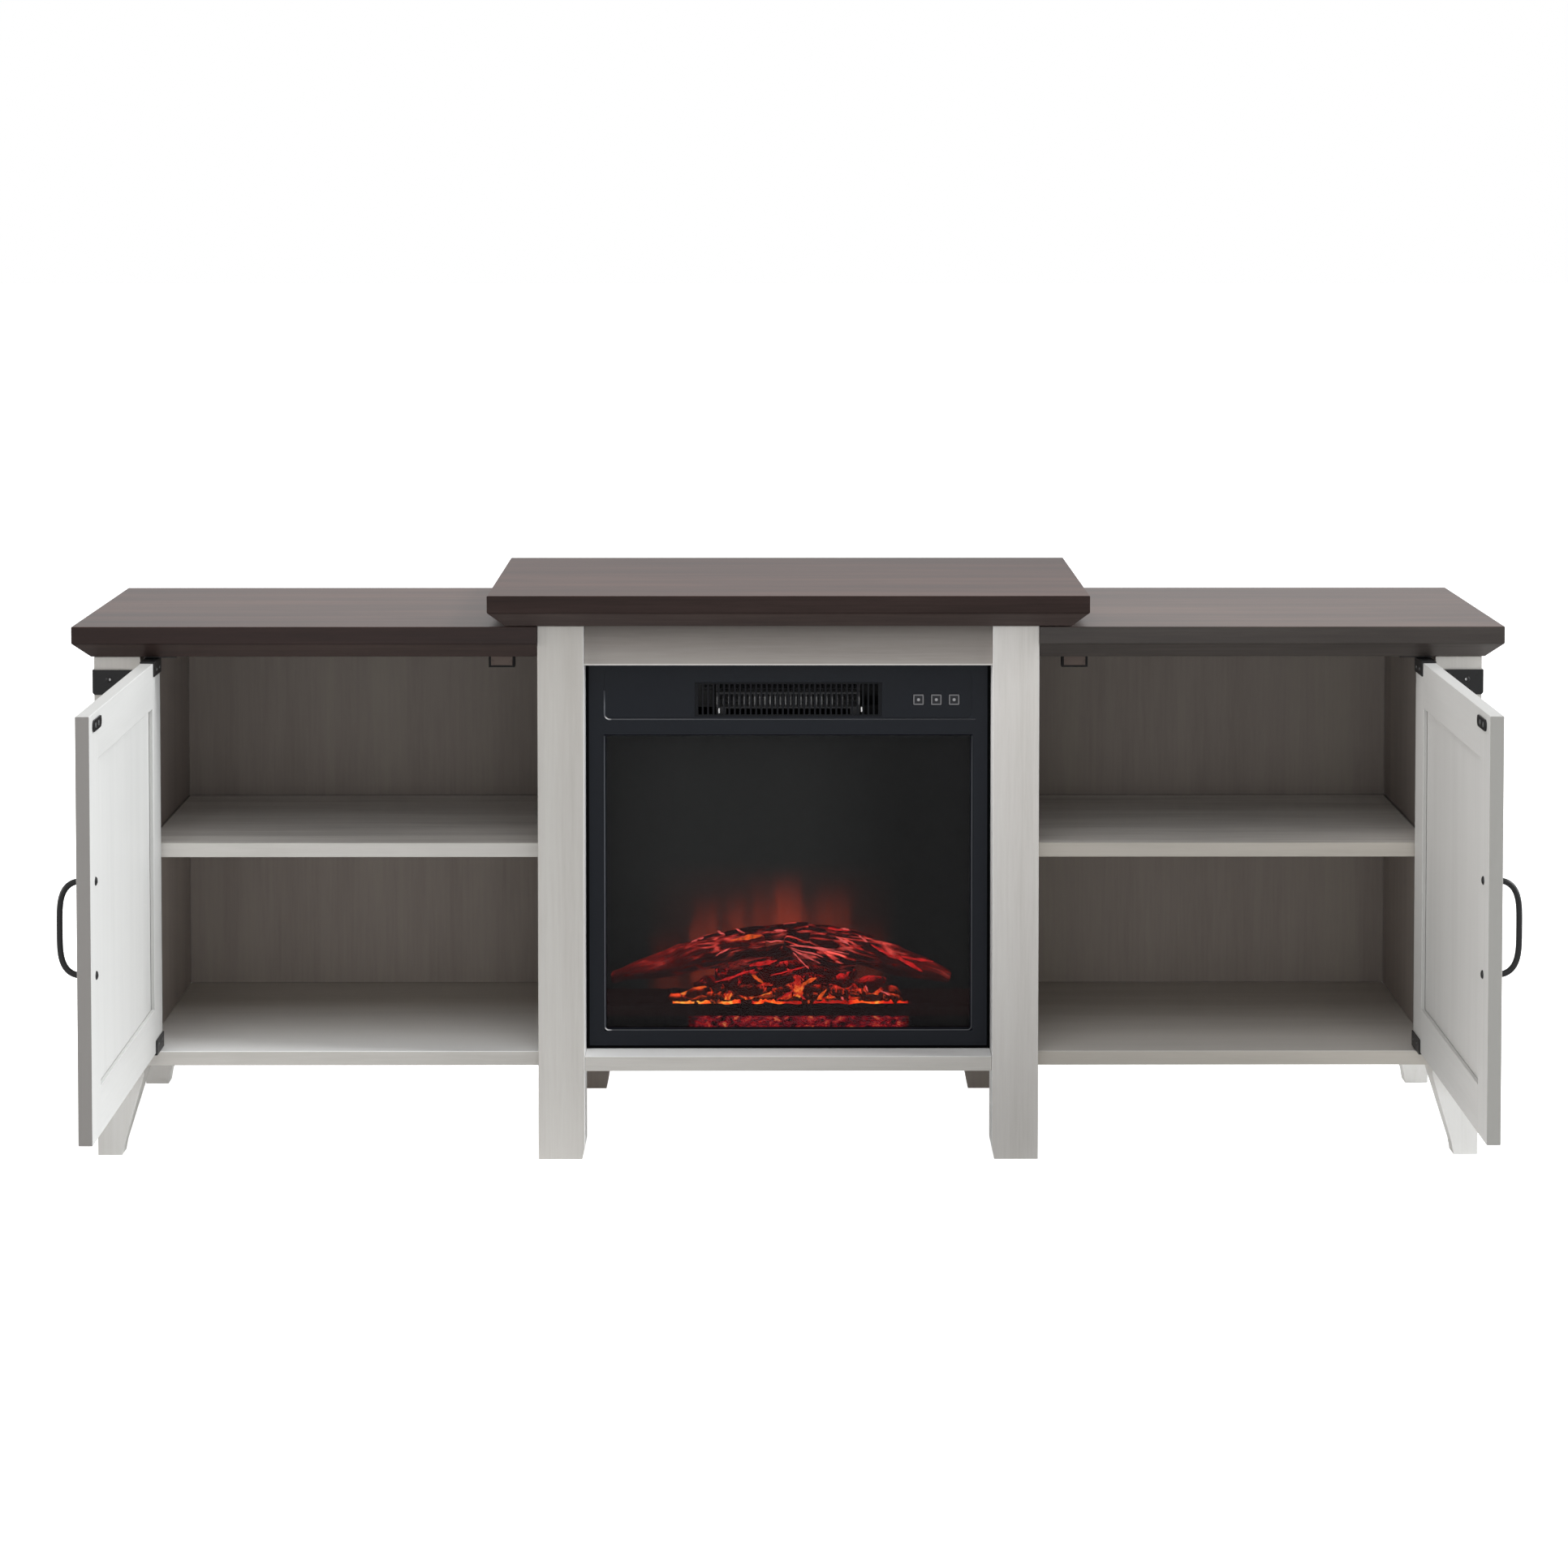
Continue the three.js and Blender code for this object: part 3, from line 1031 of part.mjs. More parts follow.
function addFireplace(group) {
  add(group, 'fireplace_fascia', fascia(), blackPlastic());
  add(group, 'fireplace_glass', glassPane(), glass());
  add(group, 'vent_grille', ventGrille(), blackPlastic());
  buttonPlaces().forEach((x, i) => add(group, `button_${i + 1}`, button(x), blackPlastic()));
  add(group, 'control_board', controlBoard(), circuit());
  add(group, 'fireplace_housing', housing(), darkSteel());
  add(group, 'cord_gland', cordGland(), blackPlastic());
  add(group, 'heater_element', heaterElement(), brightMetal());
  add(group, 'blower_wheel', blowerWheel(), blackMetal());
  add(group, 'blower_motor', blowerMotor(), darkSteel());
  add(group, 'flame_rotor', flameRotor(), brightMetal());
  add(group, 'rotor_motor', rotorMotor(), darkSteel());
  addBox(group, 'flame_screen', [-INSIDE_HALF, INSIDE_HALF],
    [SCREEN_FRONT, SCREEN_FRONT + SCREEN_THICK], [FIREBOX_FLOOR, DUCT_FLOOR - SEAT_GAP], glass());
  add(group, 'log_set', logSet(), bark());
}

// The whole stand, centred on the origin
const stand = new THREE.Group();
addTops(stand);
for (const side of [-1, 1]) {
  addLegs(stand, side);
  addCabinet(stand, side);
  addDoor(stand, side);
  addDoorFittings(stand, side);
  add(stand, `${sideName(side)}_corner_strap`, handed(side, cornerStrap()), blackMetal());
}
addCentreBay(stand);
addFireplace(stand);

const extent = new THREE.Box3().setFromObject(stand);
stand.position.y = -(extent.min.y + extent.max.y) / 2;

export default stand;
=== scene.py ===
"""Looks of a TV stand with an electric fireplace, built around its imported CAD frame.

Metres, X to the right, Y to the back, Z up, floor at Z = 0. At rest both doors stand open.
"""

import random
from functools import reduce
from math import copysign, cos, pi, radians, sin

import bmesh
import bpy
from mathutils import Matrix, Vector, noise
from mathutils.bvhtree import BVHTree


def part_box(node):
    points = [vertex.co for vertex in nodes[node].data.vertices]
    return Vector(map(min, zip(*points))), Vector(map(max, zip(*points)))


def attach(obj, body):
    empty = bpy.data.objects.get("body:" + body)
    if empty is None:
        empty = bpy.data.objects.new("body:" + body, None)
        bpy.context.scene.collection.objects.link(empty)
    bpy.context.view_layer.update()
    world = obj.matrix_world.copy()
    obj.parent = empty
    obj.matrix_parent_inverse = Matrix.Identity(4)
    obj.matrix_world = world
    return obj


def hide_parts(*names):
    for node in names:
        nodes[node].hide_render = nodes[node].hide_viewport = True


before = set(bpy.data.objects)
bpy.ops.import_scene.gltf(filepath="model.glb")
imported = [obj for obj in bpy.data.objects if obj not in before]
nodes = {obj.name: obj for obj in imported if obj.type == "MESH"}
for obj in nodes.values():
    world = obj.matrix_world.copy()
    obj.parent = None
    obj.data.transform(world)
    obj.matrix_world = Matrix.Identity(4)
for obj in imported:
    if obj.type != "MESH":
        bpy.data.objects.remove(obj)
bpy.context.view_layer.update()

MM = 0.001
SIDES = {"left": -1, "right": 1}

# The lower, left and front corner of the log bed
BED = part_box("log_set")[0]


def mm(*lengths):
    """Millimetres as metres."""
    return tuple(length * MM for length in lengths)


# Camera: focal length and picture shift in pixels of the square photograph, the eye in millimetres
# from the middle of the stand, the front of the centre legs and the floor, and the tilts in radians
PHOTO_PX = 1932
FOCAL_PX = 4654
SHIFT_PX = -569.65
EYE_MM = (-18.65, -4595.4, 1242.2)
PITCH = 0.0458
YAW = 0.0029
SENSOR_MM = 36

# Side light: where it comes from, its width in degrees, its strength and its tint
SIDE_LIGHTS = {
    "right": ((4.3, -0.8, 0.85), 17, 1.05, (0.93, 0.97, 1.0)),
    "right_high": ((3.6, -0.2, 2.85), 16, 2.25, (0.98, 0.99, 1.0)),
    "left": ((-4.3, -0.8, 0.85), 17, 1.22, (1.0, 0.96, 0.93)),
}

# Near lamps: each one's place, size and power, and the point that all of them face
LAMPS = {
    "top": ((0.0, -1.5, 3.3), 2.4, 30),
    "front": ((0.0, -4.2, 1.2), 2.4, 20),
    "back": ((0.0, 3.2, 2.6), 1.6, 60),
}
LAMP_TARGET = (0.0, 0.0, 0.4)

# Light from all around, and the white floor's glow to the camera, its reflectance and half its width
WORLD_LIGHT = 0.12
FLOOR_GLOW = 0.88
FLOOR_WHITE = 0.92
FLOOR_HALF = 30

# Rounding of the edges of the boards and of the metal plates, and what counts as an edge
BOARD_EDGE = 0.9 * MM
METAL_EDGE = 0.35 * MM
WELD_GAP = 0.01 * MM
EDGE_ANGLE = radians(28)

# Depths of the wood's pores in millimetres
PORES = 0.15
FINE_PORES = 0.1

# Height of the square part of the tops' edge
TOP_SQUARE = 22 * MM

# Heights between which the outer legs grow paler towards the floor, as painted light
FOOT_LIGHT = mm(70, 125)

# Shelves: width and strength of the painted shadow in the gap round them, and where it fades out near the
# front
SHELF_SHADOW_WIDTH = 4 * MM
SHELF_SHADOW_STRENGTH = 0.75
SHELF_SHADOW_FADE = mm(3, 30)

# Cabinet floors: depths between which the upper face fades from painted light to painted shade, and how
# much less painted light the right one gets
FLOOR_LIGHT = mm(10, 275)
RIGHT_LOSS = 0.68

# Doors: width of the stiles and rails, and of the line at their joints and its strength
DOOR_STILE = 55 * MM
JOINT_LINE = 0.5 * MM
LINE_STRENGTH = 0.3

# How far the painted highlight on the apron's lower edge reaches up
APRON_HIGHLIGHT_REACH = mm(1.2, 2.4)

# Width and thickness of the dark strip round the fireplace's front, a painted shadow of the gap round it
SHADOW_GAP_STRIP = mm(3.6, 0.4)

# Handles: the bar's radius, how squarely the bow turns up and out, and the collar at each foot
HANDLE_BAR = 3.5 * MM
HANDLE_SQUARE = 3.9
HANDLE_ROUND = 2.2
HANDLE_STEPS = 72
COLLAR = (mm(4.4, 0), mm(4.4, 1.4), mm(3.9, 2.2), mm(3.3, 2.6))

# Screw heads: their section, and the radius and height of each kind
DOME = ((1.0, 0.0), (1.0, 0.22), (0.94, 0.45), (0.78, 0.68), (0.5, 0.87), (0.2, 0.97), (0.02, 1.0))
HANDLE_SCREW = mm(5.0, 2.6)
PLATE_SCREW = mm(3.2, 0.9)
BRACKET_SCREW = mm(2.2, 0.9)
STRAP_BOLT = mm(1.7, 0.5)

# Places of the screws as shares of their plate's depth, the brackets' screws' distance from the
# door's end, and the bolt's place from the strap's outer end and its middle
PLATE_SCREWS = (0.25, 0.62)
BRACKET_SCREWS = (0.3, 0.72)
BRACKET_SCREW_EDGE = 9 * MM
BOLT_PLACE = mm(21.5, 3.6)

# The faint glow of painted light in the shade behind the vent's bars, and the height of the heater's fins
VENT_PAINTED_LIGHT = 0.006
HEATER_FINS = mm(553, 562.5)

# Where the line printed on the buttons lies from their middle, its strength, and the dot's radius
BUTTON_LINE = mm(5.1, 6.3)
PRINT_STRENGTH = 0.5
BUTTON_DOT = mm(1.4, 2.2)

# Lines on the fireplace's front, grey beads that are painted highlights, in millimetres: left, right,
# bottom and top.
# Then how far each lies behind the front, its half width and the radius of its corners
WINDOW_LINE = (-227.2, 227.2, 150.0, 517)
WINDOW_BEAD = mm(1, 0.85, 5)
BAND_LINE = (-227.2, 231.5, 537.8, 573.5)
BAND_BEAD = mm(0.9, 1.2, 7)
CORNER_STEPS = 8

# Bright posts at the vent's ends: place and height in millimetres, steps along them and half width
HEATER_POSTS = ((-85.4, 548.4), (90.7, 550.1))
POST_STEPS = (-3, -1, 1, 3)
POST_WIDTH = 0.9 * MM

# Blower casing: its distance from the wheel, its thickness, the start and length of its arc in degrees,
# its steps, and how far its ends lie to the right of the wheel's
CASING_GAP = 4 * MM
CASING_THICKNESS = 1.2 * MM
CASING_ARC = (-70, 160)
CASING_STEPS = 36
CASING_ENDS = mm(-21, -16)

# Colours, as sRGB out of 255: the wood's as light, middle and dark, and other pairs as they are mixed
WHITE = (255, 255, 255)
WASH = ((216, 213, 208), (210, 207, 202), (200, 197, 191))
LEG_WASH = ((225, 223, 219), (219, 216, 212), (209, 206, 201))
# Painted shade: the left centre leg darker up under the top, the first at its foot and the second at its
# top
LEG_SHADE = ((253, 253, 252), (224, 223, 221))
# Painted light: the outer legs' feet paler, and the right and rear feet paler still
FEET_PAINTED_LIGHT = ((238, 237, 234), (233, 232, 228), (225, 223, 219))
FEET_MORE_PAINTED_LIGHT = ((254, 253, 250), (250, 249, 246), (243, 242, 238))
# Painted shade: the right shelf and the right cabinet floor's edges darker than the left ones
RIGHT_SHADE = (237, 234, 229)
# Painted shade on the cabinet floors' upper faces, behind the painted light at their front
FLOOR_SHADE = (222, 218, 214)
SHELF_WASH = ((240, 237, 232), (226, 222, 217), (204, 200, 195))
# Painted shadow in the gap round each shelf
SHELF_GAP_SHADOW = (52, 44, 38)
DOOR_WASH = ((208, 208, 206), (205, 205, 203), (201, 201, 199))
# Painted shade on the doors' free ends, deeper on the left door
SHADED_DOOR_ENDS = ((147, 144, 141), (169, 168, 164))
# Painted shade: the apron darker than the other boards and darker still up under the top, with a painted
# highlight on its lower edge
APRON_IN_SHADE = ((172, 167, 162), (164, 158, 153), (152, 146, 141))
APRON_SHADE = (172, 170, 168)
APRON_HIGHLIGHT = (222, 219, 215)
# The inside boards' tone: partly their own darker board, partly painted shade inside the cabinets; on the
# side panels' inner faces and the rear centre legs it is painted shade
INNER_SHADED = ((168, 160, 152), (162, 153, 147), (153, 144, 138))
TOP = ((60, 47, 44), (50, 38, 35), (41, 31, 29))
# The tops' upper face lighter than the edge, partly as painted reflection, and a painted reflection of
# the floor on the bevel
TOP_FACE_AND_REFLECTION = ((88, 65, 57), (65, 47, 42), (44, 32, 30))
TOP_BEVEL_REFLECTION = ((67, 55, 52), (59, 48, 45), (50, 41, 39))
# Painted highlight: the centre legs' faces towards the fireplace, the centre floor's upper face and the
# front of the cabinet floors' upper faces
PAINTED_HIGHLIGHT = (250, 250, 249)
CATCH = ((20, 18, 19), (104, 92, 86))
BUTTON = ((36, 37, 41), (46, 47, 51))
PRINT = (176, 176, 179)
HEATER = ((66, 66, 70), (88, 88, 92))
FINS = ((120, 120, 122), (236, 236, 236))
# Painted highlights on the beads round the window and under the control band: grey, lighter on the left,
# bright at the lower left corners
LINE_HIGHLIGHT_GREY = ((60, 62, 67), (86, 89, 95))
LINE_HIGHLIGHT = (236, 236, 236)
CASING = ((104, 104, 108), (124, 124, 128))
SCREEN = (15, 15, 15)
FLAME_RED = (226, 76, 44)
HAZE_GREY = (236, 240, 236)
SOOT = (22, 14, 13)
TRAY = ((12, 11, 11), (22, 19, 19))
LOG_BARK = ((12, 7, 6), (32, 21, 19))
LOG_CRACKS = ((190, 18, 20), (240, 84, 74))
LOG_DULL = (184, 26, 20)
COAL_BARK = ((12, 7, 6), (32, 20, 18))
COAL_HOT = ((222, 36, 36), (248, 84, 34))
# Painted light of the embers on the tray
TRAY_LIGHT = (255, 96, 84)

# Each top's gloss, and its upper face, square edge and bevel as shares of the colours above: partly
# painted light and shade, which differs from top to top
TOP_GLOSS_AND_LIGHT = {
    "left_top": (0.2, (0.96, 0.96, 0.96), (0.86, 0.8, 0.8), (1.06, 1.06, 1.06)),
    "centre_top": (0.11, (0.96, 0.94, 0.94), (0.9, 0.88, 0.88), (1.18, 1.24, 1.26)),
    "right_top": (0.32, (1.05, 1.1, 1.1), (1.18, 1.4, 1.42), (1.2, 1.36, 1.38)),
}

# Smoked glass: its linear colour and how much of it hides what lies behind
GLASS = (0.017, 0.017, 0.018, 1)
GLASS_COVER = 0.35

# Plain materials: colour, roughness, metallic, specular, grains to the metre and depth in millimetres
PLAIN = {
    "black_metal": ((24, 24, 25), 0.42, 0.0, 0.3, 900, 0.02),
    "black_plastic": ((15, 19, 26), 0.45, 0.0, 0.18, 700, 0.03),
    "vent_plastic": ((12, 14, 18), 0.5, 0.0, 0.14, 700, 0.03),
    "sheet_steel": ((30, 30, 32), 0.55, 0.4, 0.4, 600, 0.03),
    "wheel_steel": ((112, 112, 116), 0.5, 0.0, 0.4, 500, 0.03),
    "bright_metal": ((176, 176, 172), 0.3, 1.0, 0.5, 400, 0.02),
    "board": ((36, 62, 46), 0.5, 0.0, 0.4, 500, 0.02),
    "bolt_metal": ((150, 150, 150), 0.35, 0.8, 0.5, 500, 0.01),
    "screw_metal": ((78, 80, 80), 0.5, 0.0, 0.4, 500, 0.01),
    "post_metal": ((232, 232, 232), 0.4, 0.0, 0.5, 300, 0.01),
    # Black for the strip that paints the shadow in the gap round the fireplace
    "shadow_gap_black": ((6, 6, 7), 0.7, 0.0, 0.02, 500, 0.02),
}
GLOSS_CHANGE = 0.06

# What some of them cover, and the black metal parts of each side
COVERED = {
    "black_plastic": ("fireplace_fascia", "cord_gland"),
    "vent_plastic": ("vent_grille",),
    "sheet_steel": ("fireplace_housing", "blower_motor", "rotor_motor"),
    "wheel_steel": ("blower_wheel",),
    "bright_metal": ("flame_rotor",),
    "board": ("control_board",),
}
PLATES = ("top_hinge_bracket", "bottom_hinge_bracket", "top_hinge_socket", "bottom_hinge_socket",
          "corner_strap", "strike_plate")

# Flames on the screen: place, half width and top in millimetres, and brightness
FLAMES = (
    (2, 17, 326, 0.62),
    (-24, 26, 322, 0.32),
    (-104, 18, 296, 0.5),
    (-66, 11, 306, 0.42),
    (60, 20, 312, 0.42),
    (26, 30, 300, 0.26),
    (-40, 60, 296, 0.22),
    (104, 20, 268, 0.26),
    (-150, 20, 256, 0.22),
)

# How far the flames sway, where they fade out above and below their top, and their strength
FLAME_SWAY = 44 * MM
FLAME_FADE = (14, -60)
FLAME_STRENGTH = 0.62

# The screen's even grey, and its soft patches, grey high up and red over the bed: left, right and
# soft edge, bottom, top and soft edge in millimetres, and strength
SCREEN_HAZE = 0.006
HAZE = ((-140, 20, 120), (330, 450, 120), 0.02)
SMOULDER = ((-90, 50, 90), (130, 285, 60), 0.045)

# The tray's section as depth and height in millimetres, and which stretch of it is the glowing strip
TRAY_PROFILE = ((7, 0), (7, 13.6), (9, 14.6), (9, 28.8), (1, 30.4), (0.6, 42), (3, 45.4), (16, 47.5),
                (30, 49), (50, 54))
STRIP = (2, 3)
TRAY_COLUMNS = 150
# The tray's faint glow, painted light from the embers
TRAY_PAINTED_LIGHT = 0.009

# Glowing strip and line: their ends and soft ends in millimetres, and colours by heat. The line is in
# stretches, each with its brightness
STRIP_ENDS = (-112, 138, 14)
STRIP_HEAT = ((0.4, (26, 4, 6)), (0.5, (118, 12, 30)), (0.6, (200, 32, 40)), (0.68, (255, 150, 90)))
STRIP_STRENGTH = 1.15
LINE_ENDS = (-144, 154)
LINE_STEPS = 220
LINE_PLACE = mm(3.4, 44.2)
LINE_HEAT = ((0.05, (26, 4, 3)), (0.35, (210, 30, 16)), (0.7, (255, 86, 24)), (1.0, (255, 176, 70)))
LINE_GLOW = 2.6
LINE_STRETCHES = ((-142, -64, 1.0), (-39, -9, 0.95), (-4, 70, 0.3), (79, 111, 0.85), (112, 146, 0.5))

# The mound in millimetres: its ends, half width, foot and rise, its columns and the shares of its slope.
# Then its depth in front, over the slope and at the back, its height in front, what its crest loses and
# its height at the back, and its colours by heat, high up and near the bed
MOUND_ENDS = (-152, 156)
MOUND_HALF = 150
MOUND_FOOT = 45
MOUND_RISE = 34
MOUND_COLUMNS = 100
MOUND_SLOPE = (0.0, 0.2, 0.4, 0.6, 0.8, 0.9, 1.0)
MOUND_DEPTH = (14, 18, 40)
MOUND_HEIGHT = (40, 42, 38)
MOUND_HEAT = (((0.42, (50, 6, 8)), (0.52, (196, 24, 24)), (0.61, (250, 92, 48))),
              ((0.42, (64, 8, 6)), (0.52, (224, 46, 20)), (0.61, (255, 160, 60))))
MOUND_GLOW = 1.9

# Rows of coals from the front: depth on the bed, number, and smallest and largest size in millimetres.
# Then half the first row's width, how much less each row behind it has, and how hot a coal can be
COAL_ROWS = ((10, 11, 6, 10), (16, 9, 8, 14), (23, 7, 10, 16), (29, 6, 10, 16))
COAL_REACH = 139
COAL_NARROWER = 20
COAL_HEATS = (0.3, 0.8, 1.0)

# Logs: both ends as place, depth on the bed and height, thickness, bow, glow of cracks and dull glow
LOGS = (
    ((-221, 21, 203), (-28, 24, 246), 18.5, 4, 0.8, 1.45),
    ((203, 21, 203), (26, 25, 250), 17.5, 4, 0.9, 0.7),
    ((-114, 33, 243), (28, 34, 262), 10.5, 3, 1.0, 0.2),
    ((-8, 33, 261), (108, 34, 244), 10.5, 3, 1.0, 0.2),
    ((-6, 17, 247), (84, 15, 222), 13, -2, 1.5, 0.15),
    ((-74, 20, 219), (20, 21, 240), 11, 2, 0.9, 0.2),
)
LOG_RINGS = 72
LOG_SIDES = 48

# How steeply the eye looks down on the fire, the splinters' steps and how deep one may lie
FIRE_SLOPE = 0.22
SPLINTER_STEPS = 14
SPLINTER_DEPTH = 26 * MM
SPLINTER_GLOW = 2.0

# Glowing cracks and splinters on the pile: both ends as place and height, half width and tone
EMBERS = {"pink": (236, 96, 92), "red": (206, 34, 34), "orange": (250, 96, 36)}
SPLINTERS = (
    (-89, 267, -79, 263, 1.1, "pink"),
    (-66, 270, -54, 264, 1.0, "pink"),
    (50, 270, 78, 267, 1.4, "red"),
    (66, 271, 77, 268, 0.9, "pink"),
    (-72, 255, -33, 262, 2.2, "orange"),
    (-121, 253, -106, 259, 1.2, "pink"),
    (-90, 236, -72, 246, 1.0, "pink"),
    (-18, 268, -2, 268, 1.1, "pink"),
    (-28, 254, -6, 255, 0.9, "pink"),
    (2, 248, 58, 244, 1.0, "pink"),
    (4, 244, 40, 226, 1.0, "pink"),
    (4, 246, 44, 234, 1.0, "pink"),
    (6, 240, 26, 220, 1.1, "pink"),
    (12, 249, 76, 238, 0.9, "pink"),
    (60, 260, 76, 250, 1.1, "pink"),
    (76, 250, 94, 242, 1.0, "red"),
    (89, 261, 100, 253, 1.7, "pink"),
    (104, 250, 134, 232, 1.6, "red"),
    (130, 237, 168, 216, 1.9, "red"),
    (134, 236, 182, 228, 1.4, "red"),
    (-48, 223, -14, 230, 2.6, "red"),
    (-91, 203, -42, 218, 1.5, "red"),
    (-22, 210, 22, 223, 1.2, "red"),
    (-45, 212, -31, 201, 1.7, "orange"),
    (11, 196, 35, 208, 2.4, "orange"),
    (-119, 195, -102, 196, 1.6, "orange"),
    (-14, 180, 8, 192, 1.6, "red"),
    (8, 192, 22, 181, 1.4, "red"),
    (36, 178, 48, 194, 1.7, "orange"),
    (66, 184, 72, 176, 1.2, "pink"),
    (114, 192, 128, 186, 1.4, "pink"),
    (97, 199, 100, 190, 1.1, "pink"),
    (170, 180, 174, 183, 1.8, "pink"),
)


def linear(colour):
    """An sRGB colour out of 255 as linear red, green, blue and alpha."""
    channels = [c / 255 for c in colour]
    return [c / 12.92 if c <= 0.04045 else ((c + 0.055) / 1.055) ** 2.4 for c in channels] + [1.0]


def link(name, data):
    """A new object in the scene."""
    thing = bpy.data.objects.new(name, data)
    bpy.context.scene.collection.objects.link(thing)
    return thing


def clamp(value):
    return min(1.0, max(0.0, value))


def lump(*place):
    """A smooth random measure between -1 and 1 at one place."""
    return noise.noise(Vector(place))


def circle(sides):
    """As many angles, evenly round a circle."""
    return [2 * pi * k / sides for k in range(sides)]


class Tree:
    """A node tree, and short calls to add nodes and join them."""

    def __init__(self, tree):
        self.tree = tree

    def join(self, value, socket):
        if isinstance(value, bpy.types.NodeSocket):
            self.tree.links.new(value, socket)
        else:
            socket.default_value = value

    def set(self, node, **inputs):
        for name, value in inputs.items():
            self.join(value, node.inputs[name.replace("_", " ")])
        return node

    def add(self, kind, settings=None, **inputs):
        node = self.tree.nodes.new("ShaderNode" + kind)
        for name, value in (settings or {}).items():
            setattr(node, name, value)
        return self.set(node, **inputs)

    def math(self, operation, *values):
        node = self.add("Math", {"operation": operation})
        for socket, value in zip(node.inputs, values):
            self.join(value, socket)
        return node.outputs[0]

    def chain(self, operation, values):
        """One operation on all the values in turn."""
        return reduce(lambda result, value: self.math(operation, result, value), values)

    def times(self, *values):
        return self.chain("MULTIPLY", values)

    def plus(self, *values):
        return self.chain("ADD", values)

    def most(self, *values):
        return self.chain("MAXIMUM", values)

    def minus(self, first, second):
        return self.math("SUBTRACT", first, second)

    def above(self, value, limit):
        return self.math("GREATER_THAN", value, limit)

    def below(self, value, limit):
        return self.math("LESS_THAN", value, limit)

    def scaled(self, value, factor, offset):
        """The value times the factor, plus the offset."""
        return self.math("MULTIPLY_ADD", value, factor, offset)


class Look(Tree):
    """A material with a Principled shader."""

    def __init__(self, name, roughness=0.5, metallic=0.0, specular=0.5):
        self.material = bpy.data.materials.new(name)
        self.material.use_nodes = True
        super().__init__(self.material.node_tree)
        self.shader = self.tree.nodes["Principled BSDF"]
        self.set(self.shader, Roughness=roughness, Metallic=metallic, Specular_IOR_Level=specular)
        place = self.add("TexCoord").outputs["Object"]
        self.x, self.y, self.z = self.add("SeparateXYZ", Vector=place).outputs

    def reach(self):
        """Distance from the middle of the stand's width."""
        return self.math("ABSOLUTE", self.x)

    def right_half(self):
        """1 on the right of the stand and 0 on the left."""
        return self.above(self.x, 0.0)

    def coordinates(self, scale=(1, 1, 1), shuffled=False, source="Object"):
        """The place on the object, stretched, and moved by a different step on each object."""
        place = self.add("TexCoord").outputs[source]
        if shuffled:
            step = self.times(self.add("ObjectInfo").outputs["Random"], 9.0)
            moved = self.add("VectorMath", {"operation": "ADD"}, Vector=place)
            self.join(step, moved.inputs[1])
            place = moved.outputs[0]
        return self.add("Mapping", Vector=place, Scale=scale).outputs[0]

    def noise(self, scale, detail=3.0, roughness=0.6, distortion=0.0, place=None):
        """Soft noise around one half, with as many grains to the metre as the scale says."""
        if place is None:
            place = self.coordinates()
        return self.add("TexNoise", Vector=place, Scale=scale, Detail=detail, Roughness=roughness,
                        Distortion=distortion).outputs["Fac"]

    def ramp(self, factor, stops):
        """Colours by position, as pairs of position and colour."""
        node = self.add("ValToRGB", Fac=factor)
        elements = node.color_ramp.elements
        while len(elements) < len(stops):
            elements.new(0.5)
        for element, (position, colour) in zip(elements, stops):
            element.position = position
            element.color = linear(colour)
        return node.outputs["Color"]

    def level(self, factor, low, high):
        """0 where the factor is at low, 1 where it is at high, and in between in proportion."""
        return self.add("MapRange", Value=factor, From_Min=low, From_Max=high).outputs["Result"]

    def within(self, factor, low, high, edge):
        """1 between low and high, falling to 0 over the width of the edge outside them."""
        return self.times(self.level(factor, low - edge, low), self.level(factor, high + edge, high))

    def mix(self, factor, first, second, blend="MIX"):
        """Two colours in one, each a socket or an sRGB colour."""
        node = self.add("Mix", {"data_type": "RGBA", "blend_type": blend})
        self.join(factor, node.inputs["Factor"])
        for socket, value in ((node.inputs[6], first), (node.inputs[7], second)):
            self.join(self.colour(value), socket)
        return node.outputs[2]

    def colour(self, value):
        return value if isinstance(value, bpy.types.NodeSocket) else linear(value)

    def painted(self):
        """The glow painted on the mesh."""
        return self.add("VertexColor", {"layer_name": "glow"}).outputs[0]

    def glow(self, colour, strength):
        """A glow that is seen, and that lights its neighbours only by bounced light."""
        self.set(self.shader, Emission_Color=self.colour(colour), Emission_Strength=strength)
        self.material.cycles.emission_sampling = "NONE"

    def two_glows(self, first, first_colour, second, second_colour):
        """Two glows in one, each with its own strength and colour."""
        total = self.plus(first, second)
        share = self.math("DIVIDE", first, self.plus(total, 0.0001))
        self.glow(self.mix(share, second_colour, first_colour), total)

    def done(self, colour, height, depth, strength=1.0):
        """The material, with its colour and a bump of so many millimetres."""
        normal = self.add("Bump", Height=height, Distance=depth * MM, Strength=strength).outputs[0]
        self.set(self.shader, Base_Color=self.colour(colour), Normal=normal)
        return self.material


